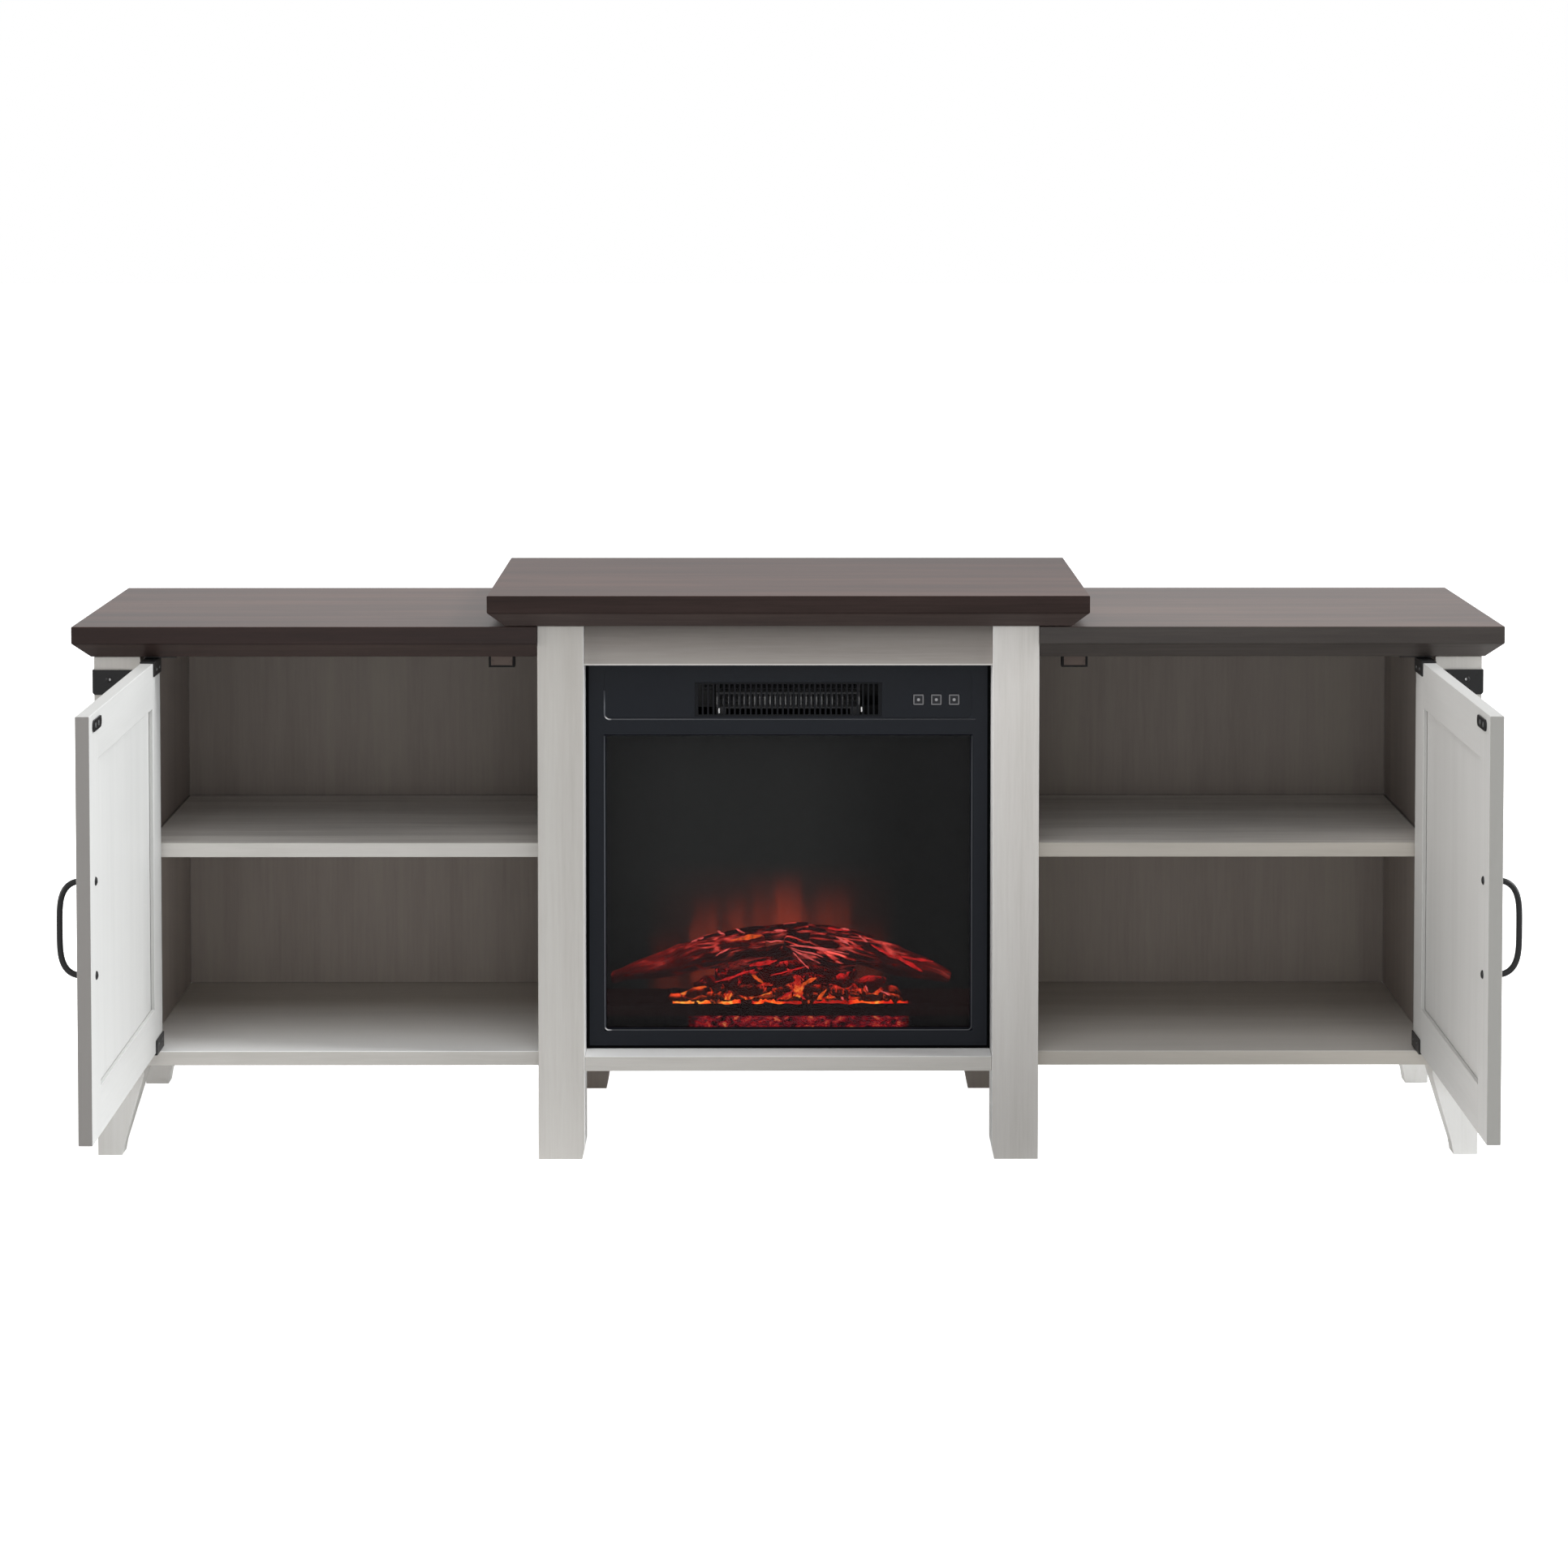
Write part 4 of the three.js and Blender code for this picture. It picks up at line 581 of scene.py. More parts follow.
class Wood(Look):
    """Wood with broad streaks, fine pores and a slow change of tone along one axis."""

    def __init__(self, name, axis, roughness=0.55, specular=0.3):
        super().__init__(name, roughness, specular=specular)
        self.streaks, self.pores = self.figure(axis)

    def figure(self, axis, seed=0.0):
        """Streaks and pores along one axis, as measures around one half."""
        def along(share):
            return tuple(share if letter == axis else 1.0 for letter in "XYZ")
        place = self.coordinates(along(0.045), shuffled=True)
        if seed:
            place = self.add("Mapping", Vector=place, Location=(seed, seed, seed)).outputs[0]
        broad = self.noise(24, 5, 0.6, 0.35, place)
        pores = self.noise(230, 6, 0.7, 0.2, place)
        slow = self.noise(5, 2, 0.5, place=self.coordinates(along(0.3), shuffled=True))
        shift = self.times(self.minus(slow, 0.5), 0.3)
        return self.plus(self.times(broad, 0.6), self.times(pores, 0.4), shift), pores

    def tones(self, tones, streaks=None):
        """Light, middle and dark tones, laid out by the streaks."""
        light, middle, dark = tones
        measure = self.streaks if streaks is None else streaks
        return self.ramp(measure, ((0.34, dark), (0.5, middle), (0.66, light)))

    def done(self, colour, depth=PORES, strength=0.5):
        return super().done(colour, self.pores, depth, strength)


def wood(name, axis, tones, roughness=0.55, specular=0.3):
    """The same wood all over."""
    look = Wood(name, axis, roughness, specular)
    return look.done(look.tones(tones))


def door_wood():
    """Upright grain on the stiles, level grain on the rails, a fine line at each joint, and painted shade
    on the free end, deeper on the left door.
    """
    look = Wood("door_frame_wood", "Z")
    low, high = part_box("left_door_frame")
    level, level_pores = look.figure("Y", 3.7)
    joints = (low.y + DOOR_STILE, high.y - DOOR_STILE)
    between = look.within(look.y, *joints, 0.2 * MM)
    panel_height = look.within(look.z, low.z + DOOR_STILE, high.z - DOOR_STILE, 0.2 * MM)
    rail = look.times(between, look.minus(1.0, panel_height))
    colour = look.mix(rail, look.tones(DOOR_WASH), look.tones(DOOR_WASH, level))
    lines = look.plus(*(look.within(look.y, joint, joint, JOINT_LINE) for joint in joints))
    colour = look.mix(look.times(lines, LINE_STRENGTH), colour, DOOR_WASH[2], "MULTIPLY")
    # Painted shade on the free end
    end = look.below(look.y, low.y + 0.3 * MM)
    colour = look.mix(end, colour, look.mix(look.right_half(), *SHADED_DOOR_ENDS))
    look.pores = look.plus(look.pores, level_pores)
    return look.done(colour, FINE_PORES)


def side_wood():
    """Whitewashed outside, with painted light making the feet paler and the right and rear feet paler
    still, and painted shade in the inside tone on the face towards the cabinet.
    """
    look = Wood("side_wood", "Z")
    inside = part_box("side_panel_right")[0].x + 0.1 * MM
    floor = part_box("cabinet_floor_right")[1].z
    # Painted shade: the inside tone on the face towards the cabinet
    inner = look.times(look.below(look.reach(), inside), look.above(look.z, floor))
    # Painted light: paler feet, paler still at the right and at the rear
    foot = look.level(look.z, FOOT_LIGHT[1], FOOT_LIGHT[0])
    rear = look.above(look.y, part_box("front_outer_leg_right")[1].y)
    pale = look.most(rear, look.right_half())
    feet = look.mix(pale, look.tones(FEET_PAINTED_LIGHT), look.tones(FEET_MORE_PAINTED_LIGHT))
    colour = look.mix(foot, look.tones(WASH), feet)
    return look.done(look.mix(inner, colour, look.tones(INNER_SHADED)))


def top_wood(name):
    """Dark wood, lighter and redder on the upper face than on the moulded edge, partly as painted
    reflection, with a painted reflection of the floor on the bevel and each top's own painted light and
    shade.
    """
    gloss, *shades = TOP_GLOSS_AND_LIGHT[name]
    look = Wood(name + "_wood", "X", 0.4, gloss)
    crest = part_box(name)[1].z
    face = look.level(look.z, crest - 0.6 * MM, crest - 0.3 * MM)
    bevel = look.level(look.z, crest - TOP_SQUARE, crest - TOP_SQUARE - 0.5 * MM)
    # Painted light and shade of each top on its upper face, square edge and bevel
    upper, square, under = (
        look.tones([[share * channel for share, channel in zip(shade, tone)] for tone in tones])
        for shade, tones in zip(shades, (TOP_FACE_AND_REFLECTION, TOP, TOP_BEVEL_REFLECTION)))
    return look.done(look.mix(face, look.mix(bevel, square, under), upper), FINE_PORES, 0.4)


def shelf_wood():
    """Level grain, a painted shadow in the gap where the shelf meets the back and the sides, and painted
    shade on the right shelf.
    """
    look = Wood("shelf_wood", "X")
    low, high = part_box("shelf_right")
    full = 0.5 * SHELF_SHADOW_WIDTH
    # Painted shadow in the gap at the back and at the sides, fading out near the front
    back = look.level(look.y, high.y - SHELF_SHADOW_WIDTH, high.y - full)
    outer = look.level(look.reach(), high.x - SHELF_SHADOW_WIDTH, high.x - full)
    inner = look.level(look.reach(), low.x + SHELF_SHADOW_WIDTH, low.x + full)
    fade = look.level(look.y, low.y + SHELF_SHADOW_FADE[0], low.y + SHELF_SHADOW_FADE[1])
    joint = look.most(back, look.times(look.most(outer, inner), fade))
    edge = look.below(look.y, low.y + 1 * MM)
    # Painted shade on the right shelf
    shaded = look.mix(look.right_half(), look.tones(WASH), RIGHT_SHADE, "MULTIPLY")
    boards = look.mix(edge, look.tones(SHELF_WASH), shaded)
    return look.done(look.mix(look.times(joint, SHELF_SHADOW_STRENGTH), boards, SHELF_GAP_SHADOW))


def cabinet_floor_wood():
    """Level grain: painted light on the upper face towards the front over painted shade further back,
    less of it on the right floor, and painted shade on the right floor's edges.
    """
    look = Wood("cabinet_floor_wood", "X")
    low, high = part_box("cabinet_floor_right")
    face = look.level(look.z, high.z - 1.4 * MM, high.z - 0.9 * MM)
    # Painted light on the upper face towards the front, less on the right floor, and painted shade behind
    # it
    front = look.level(look.y, low.y + FLOOR_LIGHT[1], low.y + FLOOR_LIGHT[0])
    light = look.scaled(look.right_half(), -RIGHT_LOSS, 1.0)
    wash = look.tones(WASH)
    upper = look.mix(1.0, wash, FLOOR_SHADE, "MULTIPLY")
    upper = look.mix(look.times(front, light), upper, PAINTED_HIGHLIGHT)
    # Painted shade on the right floor's edges
    edge = look.mix(look.right_half(), wash, RIGHT_SHADE, "MULTIPLY")
    return look.done(look.mix(face, edge, upper))


def centre_leg_wood():
    """Upright grain, painted shade up under the top on the left leg, and a painted highlight on the face
    towards the fireplace.
    """
    look = Wood("centre_leg_wood", "Z")
    low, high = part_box("front_centre_leg_right")
    # Painted highlight on the face towards the fireplace
    inner = look.below(look.reach(), low.x + 0.5 * MM)
    # Painted shade up under the top, on the left leg only
    shade = look.mix(look.level(look.z, low.z, high.z), *LEG_SHADE)
    shade = look.mix(look.right_half(), shade, WHITE)
    wash = look.mix(1.0, look.tones(LEG_WASH), shade, "MULTIPLY")
    return look.done(look.mix(inner, wash, PAINTED_HIGHLIGHT))


def centre_floor_wood():
    """Level grain, and a painted highlight on the upper face before the fireplace."""
    look = Wood("centre_floor_wood", "X")
    # Painted highlight on the upper face
    face = look.above(look.z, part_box("centre_floor")[1].z - 0.6 * MM)
    return look.done(look.mix(face, look.tones(WASH), PAINTED_HIGHLIGHT))


def apron_wood():
    """Level grain in painted shade, deepening up under the top, and a painted highlight on the lower
    edge.
    """
    look = Wood("apron_wood", "X", 0.6, 0.2)
    low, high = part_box("apron")
    # Painted shade, deepening up under the top
    shade = look.level(look.z, low.z, high.z)
    colour = look.mix(shade, look.tones(APRON_IN_SHADE), APRON_SHADE, "MULTIPLY")
    # Painted highlight on the lower edge
    edge = look.level(look.z, low.z + APRON_HIGHLIGHT_REACH[1], low.z + APRON_HIGHLIGHT_REACH[0])
    return look.done(look.mix(edge, colour, APRON_HIGHLIGHT))


def plain(name):
    """Paint, plastic or metal with a fine pebbled surface and slightly uneven gloss."""
    colour, roughness, metallic, specular, grains, depth = PLAIN[name]
    look = Look(name, roughness, metallic, specular)
    patches = look.noise(14, 3, 0.5)
    gloss = look.add("MapRange", Value=patches, To_Min=roughness - GLOSS_CHANGE,
                     To_Max=roughness + GLOSS_CHANGE)
    look.set(look.shader, Roughness=gloss.outputs["Result"])
    lighter = [c * 1.12 + 1 for c in colour]
    return look.done(look.mix(patches, colour, lighter), look.noise(grains), depth)


def catch_plastic(side):
    """Brown moulding with a dark lower edge and dark ends."""
    look = Look(f"{side}_catch_plastic", 0.6, specular=0.15)
    low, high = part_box(f"{side}_magnetic_catch")
    body = look.times(look.within(look.x, low.x + 3 * MM, high.x - 3 * MM, 0.4 * MM),
                      look.level(look.z, low.z + 2.2 * MM, low.z + 2.8 * MM))
    return look.done(look.mix(body, *CATCH), look.noise(500), 0.03)


def button_plastic(name):
    """A dark cap with a pale line near its rim and a pale dot in its middle."""
    look = Look(name + "_plastic", specular=0.2)
    low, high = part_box(name)
    middle = (low + high) / 2
    across = look.minus(look.x, middle.x)
    up = look.minus(look.z, middle.z)
    radius = look.math("SQRT", look.plus(look.times(across, across), look.times(up, up)))
    square = look.most(look.math("ABSOLUTE", across), look.math("ABSOLUTE", up))
    line = look.times(look.within(square, *BUTTON_LINE, 0.2 * MM), PRINT_STRENGTH)
    mark = look.most(line, look.level(radius, BUTTON_DOT[1], BUTTON_DOT[0]))
    grains = look.noise(900)
    return look.done(look.mix(mark, look.mix(grains, *BUTTON), PRINT), grains, 0.03)


def heater_metal():
    """Dark steel with a row of pale fins across it, and a faint glow of painted light in the shade behind
    the vent.
    """
    look = Look("heater_metal", specular=0.3)
    grains = look.noise(340, 4, 0.7, place=look.coordinates((1, 1, 0.2)))
    row = look.within(look.z, *HEATER_FINS, 0.6 * MM)
    pale = look.mix(look.level(grains, 0.35, 0.65), *FINS)
    look.glow(WHITE, VENT_PAINTED_LIGHT)
    return look.done(look.mix(row, look.mix(grains, *HEATER), pale), grains, 0.05)


def highlight_line_plastic():
    """Painted highlights: grey beads, lighter on the left and brightest at their lower left corners."""
    look = Look("highlight_line_plastic", 0.35)
    left = look.level(look.x, -218 * MM, -224 * MM)
    window, band = WINDOW_LINE[2], BAND_LINE[2]
    corners = look.most(look.level(look.z, (window + 4) * MM, (window + 1.5) * MM),
                        look.within(look.z, (band - 1) * MM, (band + 1.5) * MM, 3 * MM))
    grey = look.mix(left, *LINE_HIGHLIGHT_GREY)
    colour = look.mix(look.times(left, corners), grey, LINE_HIGHLIGHT)
    return look.done(colour, look.noise(300), 0.01)


def casing_steel():
    """Grey sheet behind the vent, with a faint glow of painted light in the shade there."""
    look = Look("casing_steel", 0.6, specular=0.3)
    grains = look.noise(500)
    look.glow(WHITE, VENT_PAINTED_LIGHT)
    return look.done(look.mix(grains, *CASING), grains, 0.03)


def char_material():
    """Charred bark with glowing cracks along it and a dull glow on its upper side."""
    look = Look("charred_bark", 0.85, specular=0.1)
    place = look.coordinates((24, 105, 1), source="UV")
    warp = look.add("TexNoise", Vector=place, Scale=0.6, Detail=3.0).outputs["Color"]
    warped = look.add("VectorMath", {"operation": "MULTIPLY_ADD"}, Vector=warp)
    warped.inputs[1].default_value = (1.3, 1.3, 1.3)
    look.join(place, warped.inputs[2])
    cells = look.add("TexVoronoi", {"feature": "DISTANCE_TO_EDGE"}, Vector=warped.outputs[0], Scale=1.0)
    edge = cells.outputs["Distance"]
    patches = look.noise(1.0, place=look.coordinates((26, 46, 1), source="UV"))
    heat = look.level(patches, 0.44, 0.6)
    glow = look.add("SeparateColor", Color=look.painted()).outputs
    line = look.times(look.level(edge, 0.16, 0.02), heat, glow["Red"], 2.4)
    dull = look.plus(look.times(look.level(patches, 0.25, 0.75), glow["Green"], 0.8), 0.03)
    look.two_glows(line, look.mix(heat, *LOG_CRACKS), dull, LOG_DULL)
    return look.done(look.mix(look.level(edge, 0.0, 0.4), *LOG_BARK), edge, 1.5, 0.8)


def coal_material():
    """Dark coals with hot upper edges and patches, hotter near the bed."""
    look = Look("coals", 0.9, specular=0.05)
    upper = look.add("SeparateColor", Color=look.painted()).outputs["Red"]
    patches = look.level(look.noise(45, 5, 0.7, 0.8), 0.46, 0.6)
    rim = look.times(upper, patches, 2.4)
    spots = look.times(look.level(look.noise(120, 3, 0.6, 0.8), 0.6, 0.7), 1.6)
    dull = look.times(look.noise(90, 4, 0.65), 0.09)
    low = look.level(look.z, 200 * MM, 178 * MM)
    look.glow(look.mix(low, *COAL_HOT), look.plus(rim, spots, dull))
    return look.done(look.mix(look.noise(130, 4), *COAL_BARK), look.noise(120, 4), 0.7, 0.6)


def tray_resin():
    """Sooty resin with a faint glow of painted light from the embers."""
    look = Look("tray", 0.85, specular=0.08)
    grains = look.noise(260)
    look.glow(TRAY_LIGHT, TRAY_PAINTED_LIGHT)
    return look.done(look.mix(grains, *TRAY), grains, 0.5)


def strip_material():
    """Embers in patches from dark to bright, along the strip under the ledge."""
    look = Look("ember_strip", 0.9, specular=0.05)
    heat = look.noise(95, 4, 0.65, 0.4, look.coordinates((1.0, 1.0, 1.4)))
    along = look.within(look.x, *mm(*STRIP_ENDS))
    look.glow(look.ramp(heat, STRIP_HEAT), look.times(along, STRIP_STRENGTH))
    return look.done(SOOT, heat, 0.8, 0.6)


def line_material():
    """Embers that glow yellow in some stretches and are almost out between them."""
    look = Look("ember_line", 0.9, specular=0.05)
    x = look.scaled(look.noise(30), 12 * MM, look.x)
    heat = 0.0
    for start, end, bright in LINE_STRETCHES:
        stretch = look.within(x, (start + 6) * MM, (end + 6) * MM, 6 * MM)
        heat = look.plus(look.times(stretch, bright), heat)
    grain = look.level(look.noise(110, 4, 0.65, 0.4), 0.3, 0.7)
    heat = look.times(heat, look.scaled(grain, 0.7, 0.4))
    look.glow(look.ramp(heat, LINE_HEAT), LINE_GLOW)
    return look.done(SOOT, grain, 0.8, 0.6)


def mound_material():
    """Embers all over, redder high up and more orange near the bed."""
    look = Look("ember_mound", 0.9, specular=0.05)
    heat = look.noise(100, 6, 0.72, 0.6)
    low = look.level(look.z, 206 * MM, 176 * MM)
    colour = look.mix(low, *(look.ramp(heat, stops) for stops in MOUND_HEAT))
    look.glow(colour, MOUND_GLOW)
    return look.done(SOOT, heat, 1.0, 0.6)


def splinter_material():
    """Embers that flicker in the tone painted on each splinter."""
    look = Look("splinters", 0.9, specular=0.05)
    flicker = look.noise(150)
    look.glow(look.painted(), look.times(look.level(flicker, 0.2, 0.6), SPLINTER_GLOW))
    return look.done(SOOT, flicker, 0.5, 0.6)


def paint(names, material):
    for name in names:
        slots = nodes[name].data.materials
        slots.clear()
        slots.append(material)


def soften(names, width):
    """Rounds the edges of CAD nodes without touching their meshes."""
    for name in names:
        weld = nodes[name].modifiers.new("weld", "WELD")
        weld.merge_threshold = WELD_GAP
        bevel = nodes[name].modifiers.new("edges", "BEVEL")
        bevel.width = width
        bevel.segments = 2
        bevel.limit_method = "ANGLE"
        bevel.angle_limit = EDGE_ANGLE
        bevel.harden_normals = True


class Shape:
    """A mesh made of parts, which becomes one piece."""

    def __init__(self):
        self.mesh = bmesh.new()

    def glow_layer(self):
        return self.mesh.verts.layers.float_color.new("glow")

    def skin(self, rings, caps=True):
        """A skin through closed rings of points."""
        rows = [[self.mesh.verts.new(point) for point in ring] for ring in rings]
        count = len(rows[0])
        for first, second in zip(rows, rows[1:]):
            for i in range(count):
                j = (i + 1) % count
                self.mesh.faces.new((first[i], first[j], second[j], second[i]))
        if caps:
            self.mesh.faces.new(reversed(rows[0]))
            self.mesh.faces.new(rows[-1])
        return rows

    def tube(self, points, radii, sides=20):
        """A round bar through points that lie in one plane of constant Y."""
        rings = []
        for i, point in enumerate(points):
            ahead = points[min(i + 1, len(points) - 1)]
            behind = points[max(i - 1, 0)]
            along = (ahead - behind).normalized()
            across = Vector((0, 1, 0))
            outward = along.cross(across)
            rings.append([point + radii[i] * (cos(a) * across + sin(a) * outward) for a in circle(sides)])
        return self.skin(rings)

    def bead(self, points, radius):
        """A thin rounded bead through points in a plane of constant Y."""
        self.tube(points, [radius] * len(points), 8)

    def turned(self, profile, place, direction, sides=24):
        """A round part from pairs of radius and height, standing in one direction."""
        turn = Vector((0, 0, 1)).rotation_difference(Vector(direction)).to_matrix()
        self.skin([[Vector(place) + turn @ Vector((radius * cos(a), radius * sin(a), height))
                    for a in circle(sides)] for radius, height in profile])

    def dome(self, place, direction, size):
        """A low domed head of one radius and height."""
        radius, height = size
        self.turned([(radius * share, height * rise) for share, rise in DOME], place, direction, 20)

    def finish(self, name, body, slot, material, node=None, smooth=True):
        bmesh.ops.recalc_face_normals(self.mesh, faces=self.mesh.faces)
        data = bpy.data.meshes.new(name)
        self.mesh.to_mesh(data)
        self.mesh.free()
        for face in data.polygons:
            face.use_smooth = smooth
        piece = link(name, data)
        data.materials.append(material)
        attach(piece, body)
        if node:
            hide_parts(node)
        return piece


def add_camera():
    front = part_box("front_centre_leg_left")[0].y
    data = bpy.data.cameras.new("camera")
    data.sensor_width = SENSOR_MM
    data.lens = FOCAL_PX / PHOTO_PX * SENSOR_MM
    data.shift_y = SHIFT_PX / PHOTO_PX
    data.clip_end = 100
    camera = link("camera", data)
    camera.location = Vector(EYE_MM) * MM + Vector((0, front, 0))
    camera.rotation_euler = (pi / 2 - PITCH, 0, -YAW)
    bpy.context.scene.camera = camera


def facing(direction):
    """The turn of a lamp that shines in one direction."""
    return direction.to_track_quat("-Z", "Y").to_euler()


def add_lights():
    for name, (source, width, strength, tint) in SIDE_LIGHTS.items():
        data = bpy.data.lights.new(name, "SUN")
        data.angle = radians(width)
        data.energy = strength
        data.color = tint
        link(name, data).rotation_euler = facing(-Vector(source))
    for name, (place, size, watts) in LAMPS.items():
        data = bpy.data.lights.new(name, "AREA")
        data.size = size
        data.energy = watts
        lamp = link(name, data)
        lamp.location = place
        lamp.rotation_euler = facing(Vector(LAMP_TARGET) - Vector(place))
        lamp.visible_glossy = name != "back"


def add_world():
    """Plain light, and full white where the camera, a gloss or a glass looks at it."""
    world = bpy.data.worlds.new("studio")
    bpy.context.scene.world = world
    world.use_nodes = True
    tree = Tree(world.node_tree)
    rays = tree.add("LightPath").outputs
    seen = tree.most(rays["Is Camera Ray"], rays["Is Glossy Ray"], rays["Is Transmission Ray"])
    strength = tree.add("MapRange", Value=seen, To_Min=WORLD_LIGHT).outputs["Result"]
    tree.set(world.node_tree.nodes["Background"], Color=(1, 1, 1, 1), Strength=strength)


def add_floor():
    """A wide white floor, bright to the camera, that keeps a faint shadow."""
    mesh = bpy.data.meshes.new("floor")
    corners = [(x * FLOOR_HALF, y * FLOOR_HALF, 0) for x, y in ((-1, -1), (1, -1), (1, 1), (-1, 1))]
    mesh.from_pydata(corners, [], [(0, 1, 2, 3)])
    floor = link("floor", mesh)
    look = Look("floor", 0.9, specular=0.0)
    look.set(look.shader, Base_Color=(FLOOR_WHITE, FLOOR_WHITE, FLOOR_WHITE, 1))
    seen = look.add("LightPath").outputs["Is Camera Ray"]
    look.glow(WHITE, look.times(seen, FLOOR_GLOW))
    mesh.materials.append(look.material)


def both(*stems):
    """The names of the left and the right board of each kind."""
    return [f"{stem}_{side}" for stem in stems for side in SIDES]


def finish_wood():
    woods = [
        (both("front_centre_leg"), centre_leg_wood()),
        (["centre_floor"], centre_floor_wood()),
        ([f"{side}_door_panel" for side in SIDES], wood("door_panel_wood", "Z", DOOR_WASH)),
        ([f"{side}_door_frame" for side in SIDES], door_wood()),
        (both("front_outer_leg", "rear_outer_leg", "side_panel"), side_wood()),
        (both("cabinet_floor"), cabinet_floor_wood()),
        (both("shelf"), shelf_wood()),
        (["apron"], apron_wood()),
        # The rear centre legs take the inside tone as painted shade
        (both("divider", "back_panel", "rear_centre_leg"), wood("inner_wood", "Z", INNER_SHADED, 0.7, 0.2)),
        (["rear_rail"], wood("inner_wood_level", "X", INNER_SHADED, 0.7, 0.2)),
    ]
    woods += [([name], top_wood(name)) for name in TOP_GLOSS_AND_LIGHT]
    for names, material in woods:
        paint(names, material)
        soften(names, BOARD_EDGE)


def finish_metal():
    """Paints metal and plastic nodes, and gives back the black metal for the handles."""
    metal = plain("black_metal")
    plates = [f"{side}_{part}" for side in SIDES for part in PLATES]
    paint(plates, metal)
    soften([name for name in plates if "socket" not in name], METAL_EDGE)
    for name, covered in COVERED.items():
        paint(covered, plain(name))
    for side in SIDES:
        paint([f"{side}_magnetic_catch"], catch_plastic(side))
    buttons = [f"button_{number}" for number in (1, 2, 3)]
    for name in buttons:
        paint([name], button_plastic(name))
    soften(["fireplace_fascia"] + buttons, METAL_EDGE)
    paint(["heater_element"], heater_metal())
    return metal


def finish_glass():
    """Smoked glass: part of what lies behind it shows."""
    look = Look("pane", 0.0, specular=0.12)
    look.set(look.shader, Base_Color=GLASS, Alpha=GLASS_COVER)
    paint(["fireplace_glass"], look.material)


def soft_patch(look, across, up, strength):
    """A patch with soft edges on the screen."""
    return look.times(look.within(look.x, *mm(*across)), look.within(look.z, *mm(*up)), strength)


def finish_screen():
    """A dark screen with soft red flames over the logs."""
    look = Look("flame_screen", 0.8, specular=0.05)
    sway = look.minus(look.noise(38, 4, 0.65, place=look.coordinates((1.0, 0.0, 0.5))), 0.5)
    x = look.scaled(sway, FLAME_SWAY, look.x)
    flames = 0.0
    for middle, width, top, bright in FLAMES:
        offset = look.math("DIVIDE", look.minus(x, middle * MM), width * MM)
        square = look.times(offset, offset)
        across = look.math("EXPONENT", look.times(square, square, -1.0))
        start, end = ((top + rise) * MM for rise in FLAME_FADE)
        fade = look.add("MapRange", {"interpolation_type": "SMOOTHSTEP"}, Value=look.z,
                        From_Min=start, From_Max=end).outputs["Result"]
        flames = look.plus(look.times(across, fade, bright), flames)
    fine = look.level(look.noise(90, 2, 0.5, place=look.coordinates((1.0, 0.0, 0.12))), 0.2, 0.7)
    flames = look.times(flames, look.scaled(fine, 0.5, 0.5), FLAME_STRENGTH)
    red = look.plus(flames, soft_patch(look, *SMOULDER))
    grey = look.plus(soft_patch(look, *HAZE), SCREEN_HAZE)
    look.set(look.shader, Base_Color=linear(SCREEN))
    look.two_glows(red, FLAME_RED, grey, HAZE_GREY)
    paint(["flame_screen"], look.material)


def add_handles(metal):
    """Each handle is a rounded bow with a collar at each foot, and two domed screws inside the door."""
    for side, hand in SIDES.items():
        low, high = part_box(f"{side}_door_handle")
        faces = [corner.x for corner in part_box(f"{side}_door_frame")][::hand]
        inner_face, outer_face = faces
        reach = (high.x if hand > 0 else low.x) - hand * HANDLE_BAR - outer_face
        middle = (low + high) / 2
        half = (high.z - low.z) / 2 - HANDLE_BAR
        points = []
        for step in range(HANDLE_STEPS + 1):
            angle = pi * step / HANDLE_STEPS
            rise = copysign(abs(cos(angle)) ** (2 / HANDLE_SQUARE), cos(angle))
            out = sin(angle) ** (2 / HANDLE_ROUND)
            points.append(Vector((outer_face + reach * out, middle.y, middle.z + half * rise)))
        shape = Shape()
        shape.tube(points, [HANDLE_BAR] * len(points))
        sink = hand * 0.2 * MM
        for z in (middle.z - half, middle.z + half):
            shape.turned(COLLAR, (outer_face + sink, middle.y, z), (hand, 0, 0))
            shape.dome((inner_face + sink, middle.y, z), (-hand, 0, 0), HANDLE_SCREW)
        shape.finish(f"{side}_handle", f"{side}_door", "black_metal", metal, f"{side}_door_handle")


def add_plate_screws(shape, plate, hand, z, shares, size):
    """Screws side by side on the face of a plate that looks into the cabinet."""
    low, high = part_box(plate)
    face = low.x if hand > 0 else high.x
    for share in shares:
        y = low.y + (high.y - low.y) * share
        shape.dome((face + hand * 0.1 * MM, y, z), (-hand, 0, 0), size)


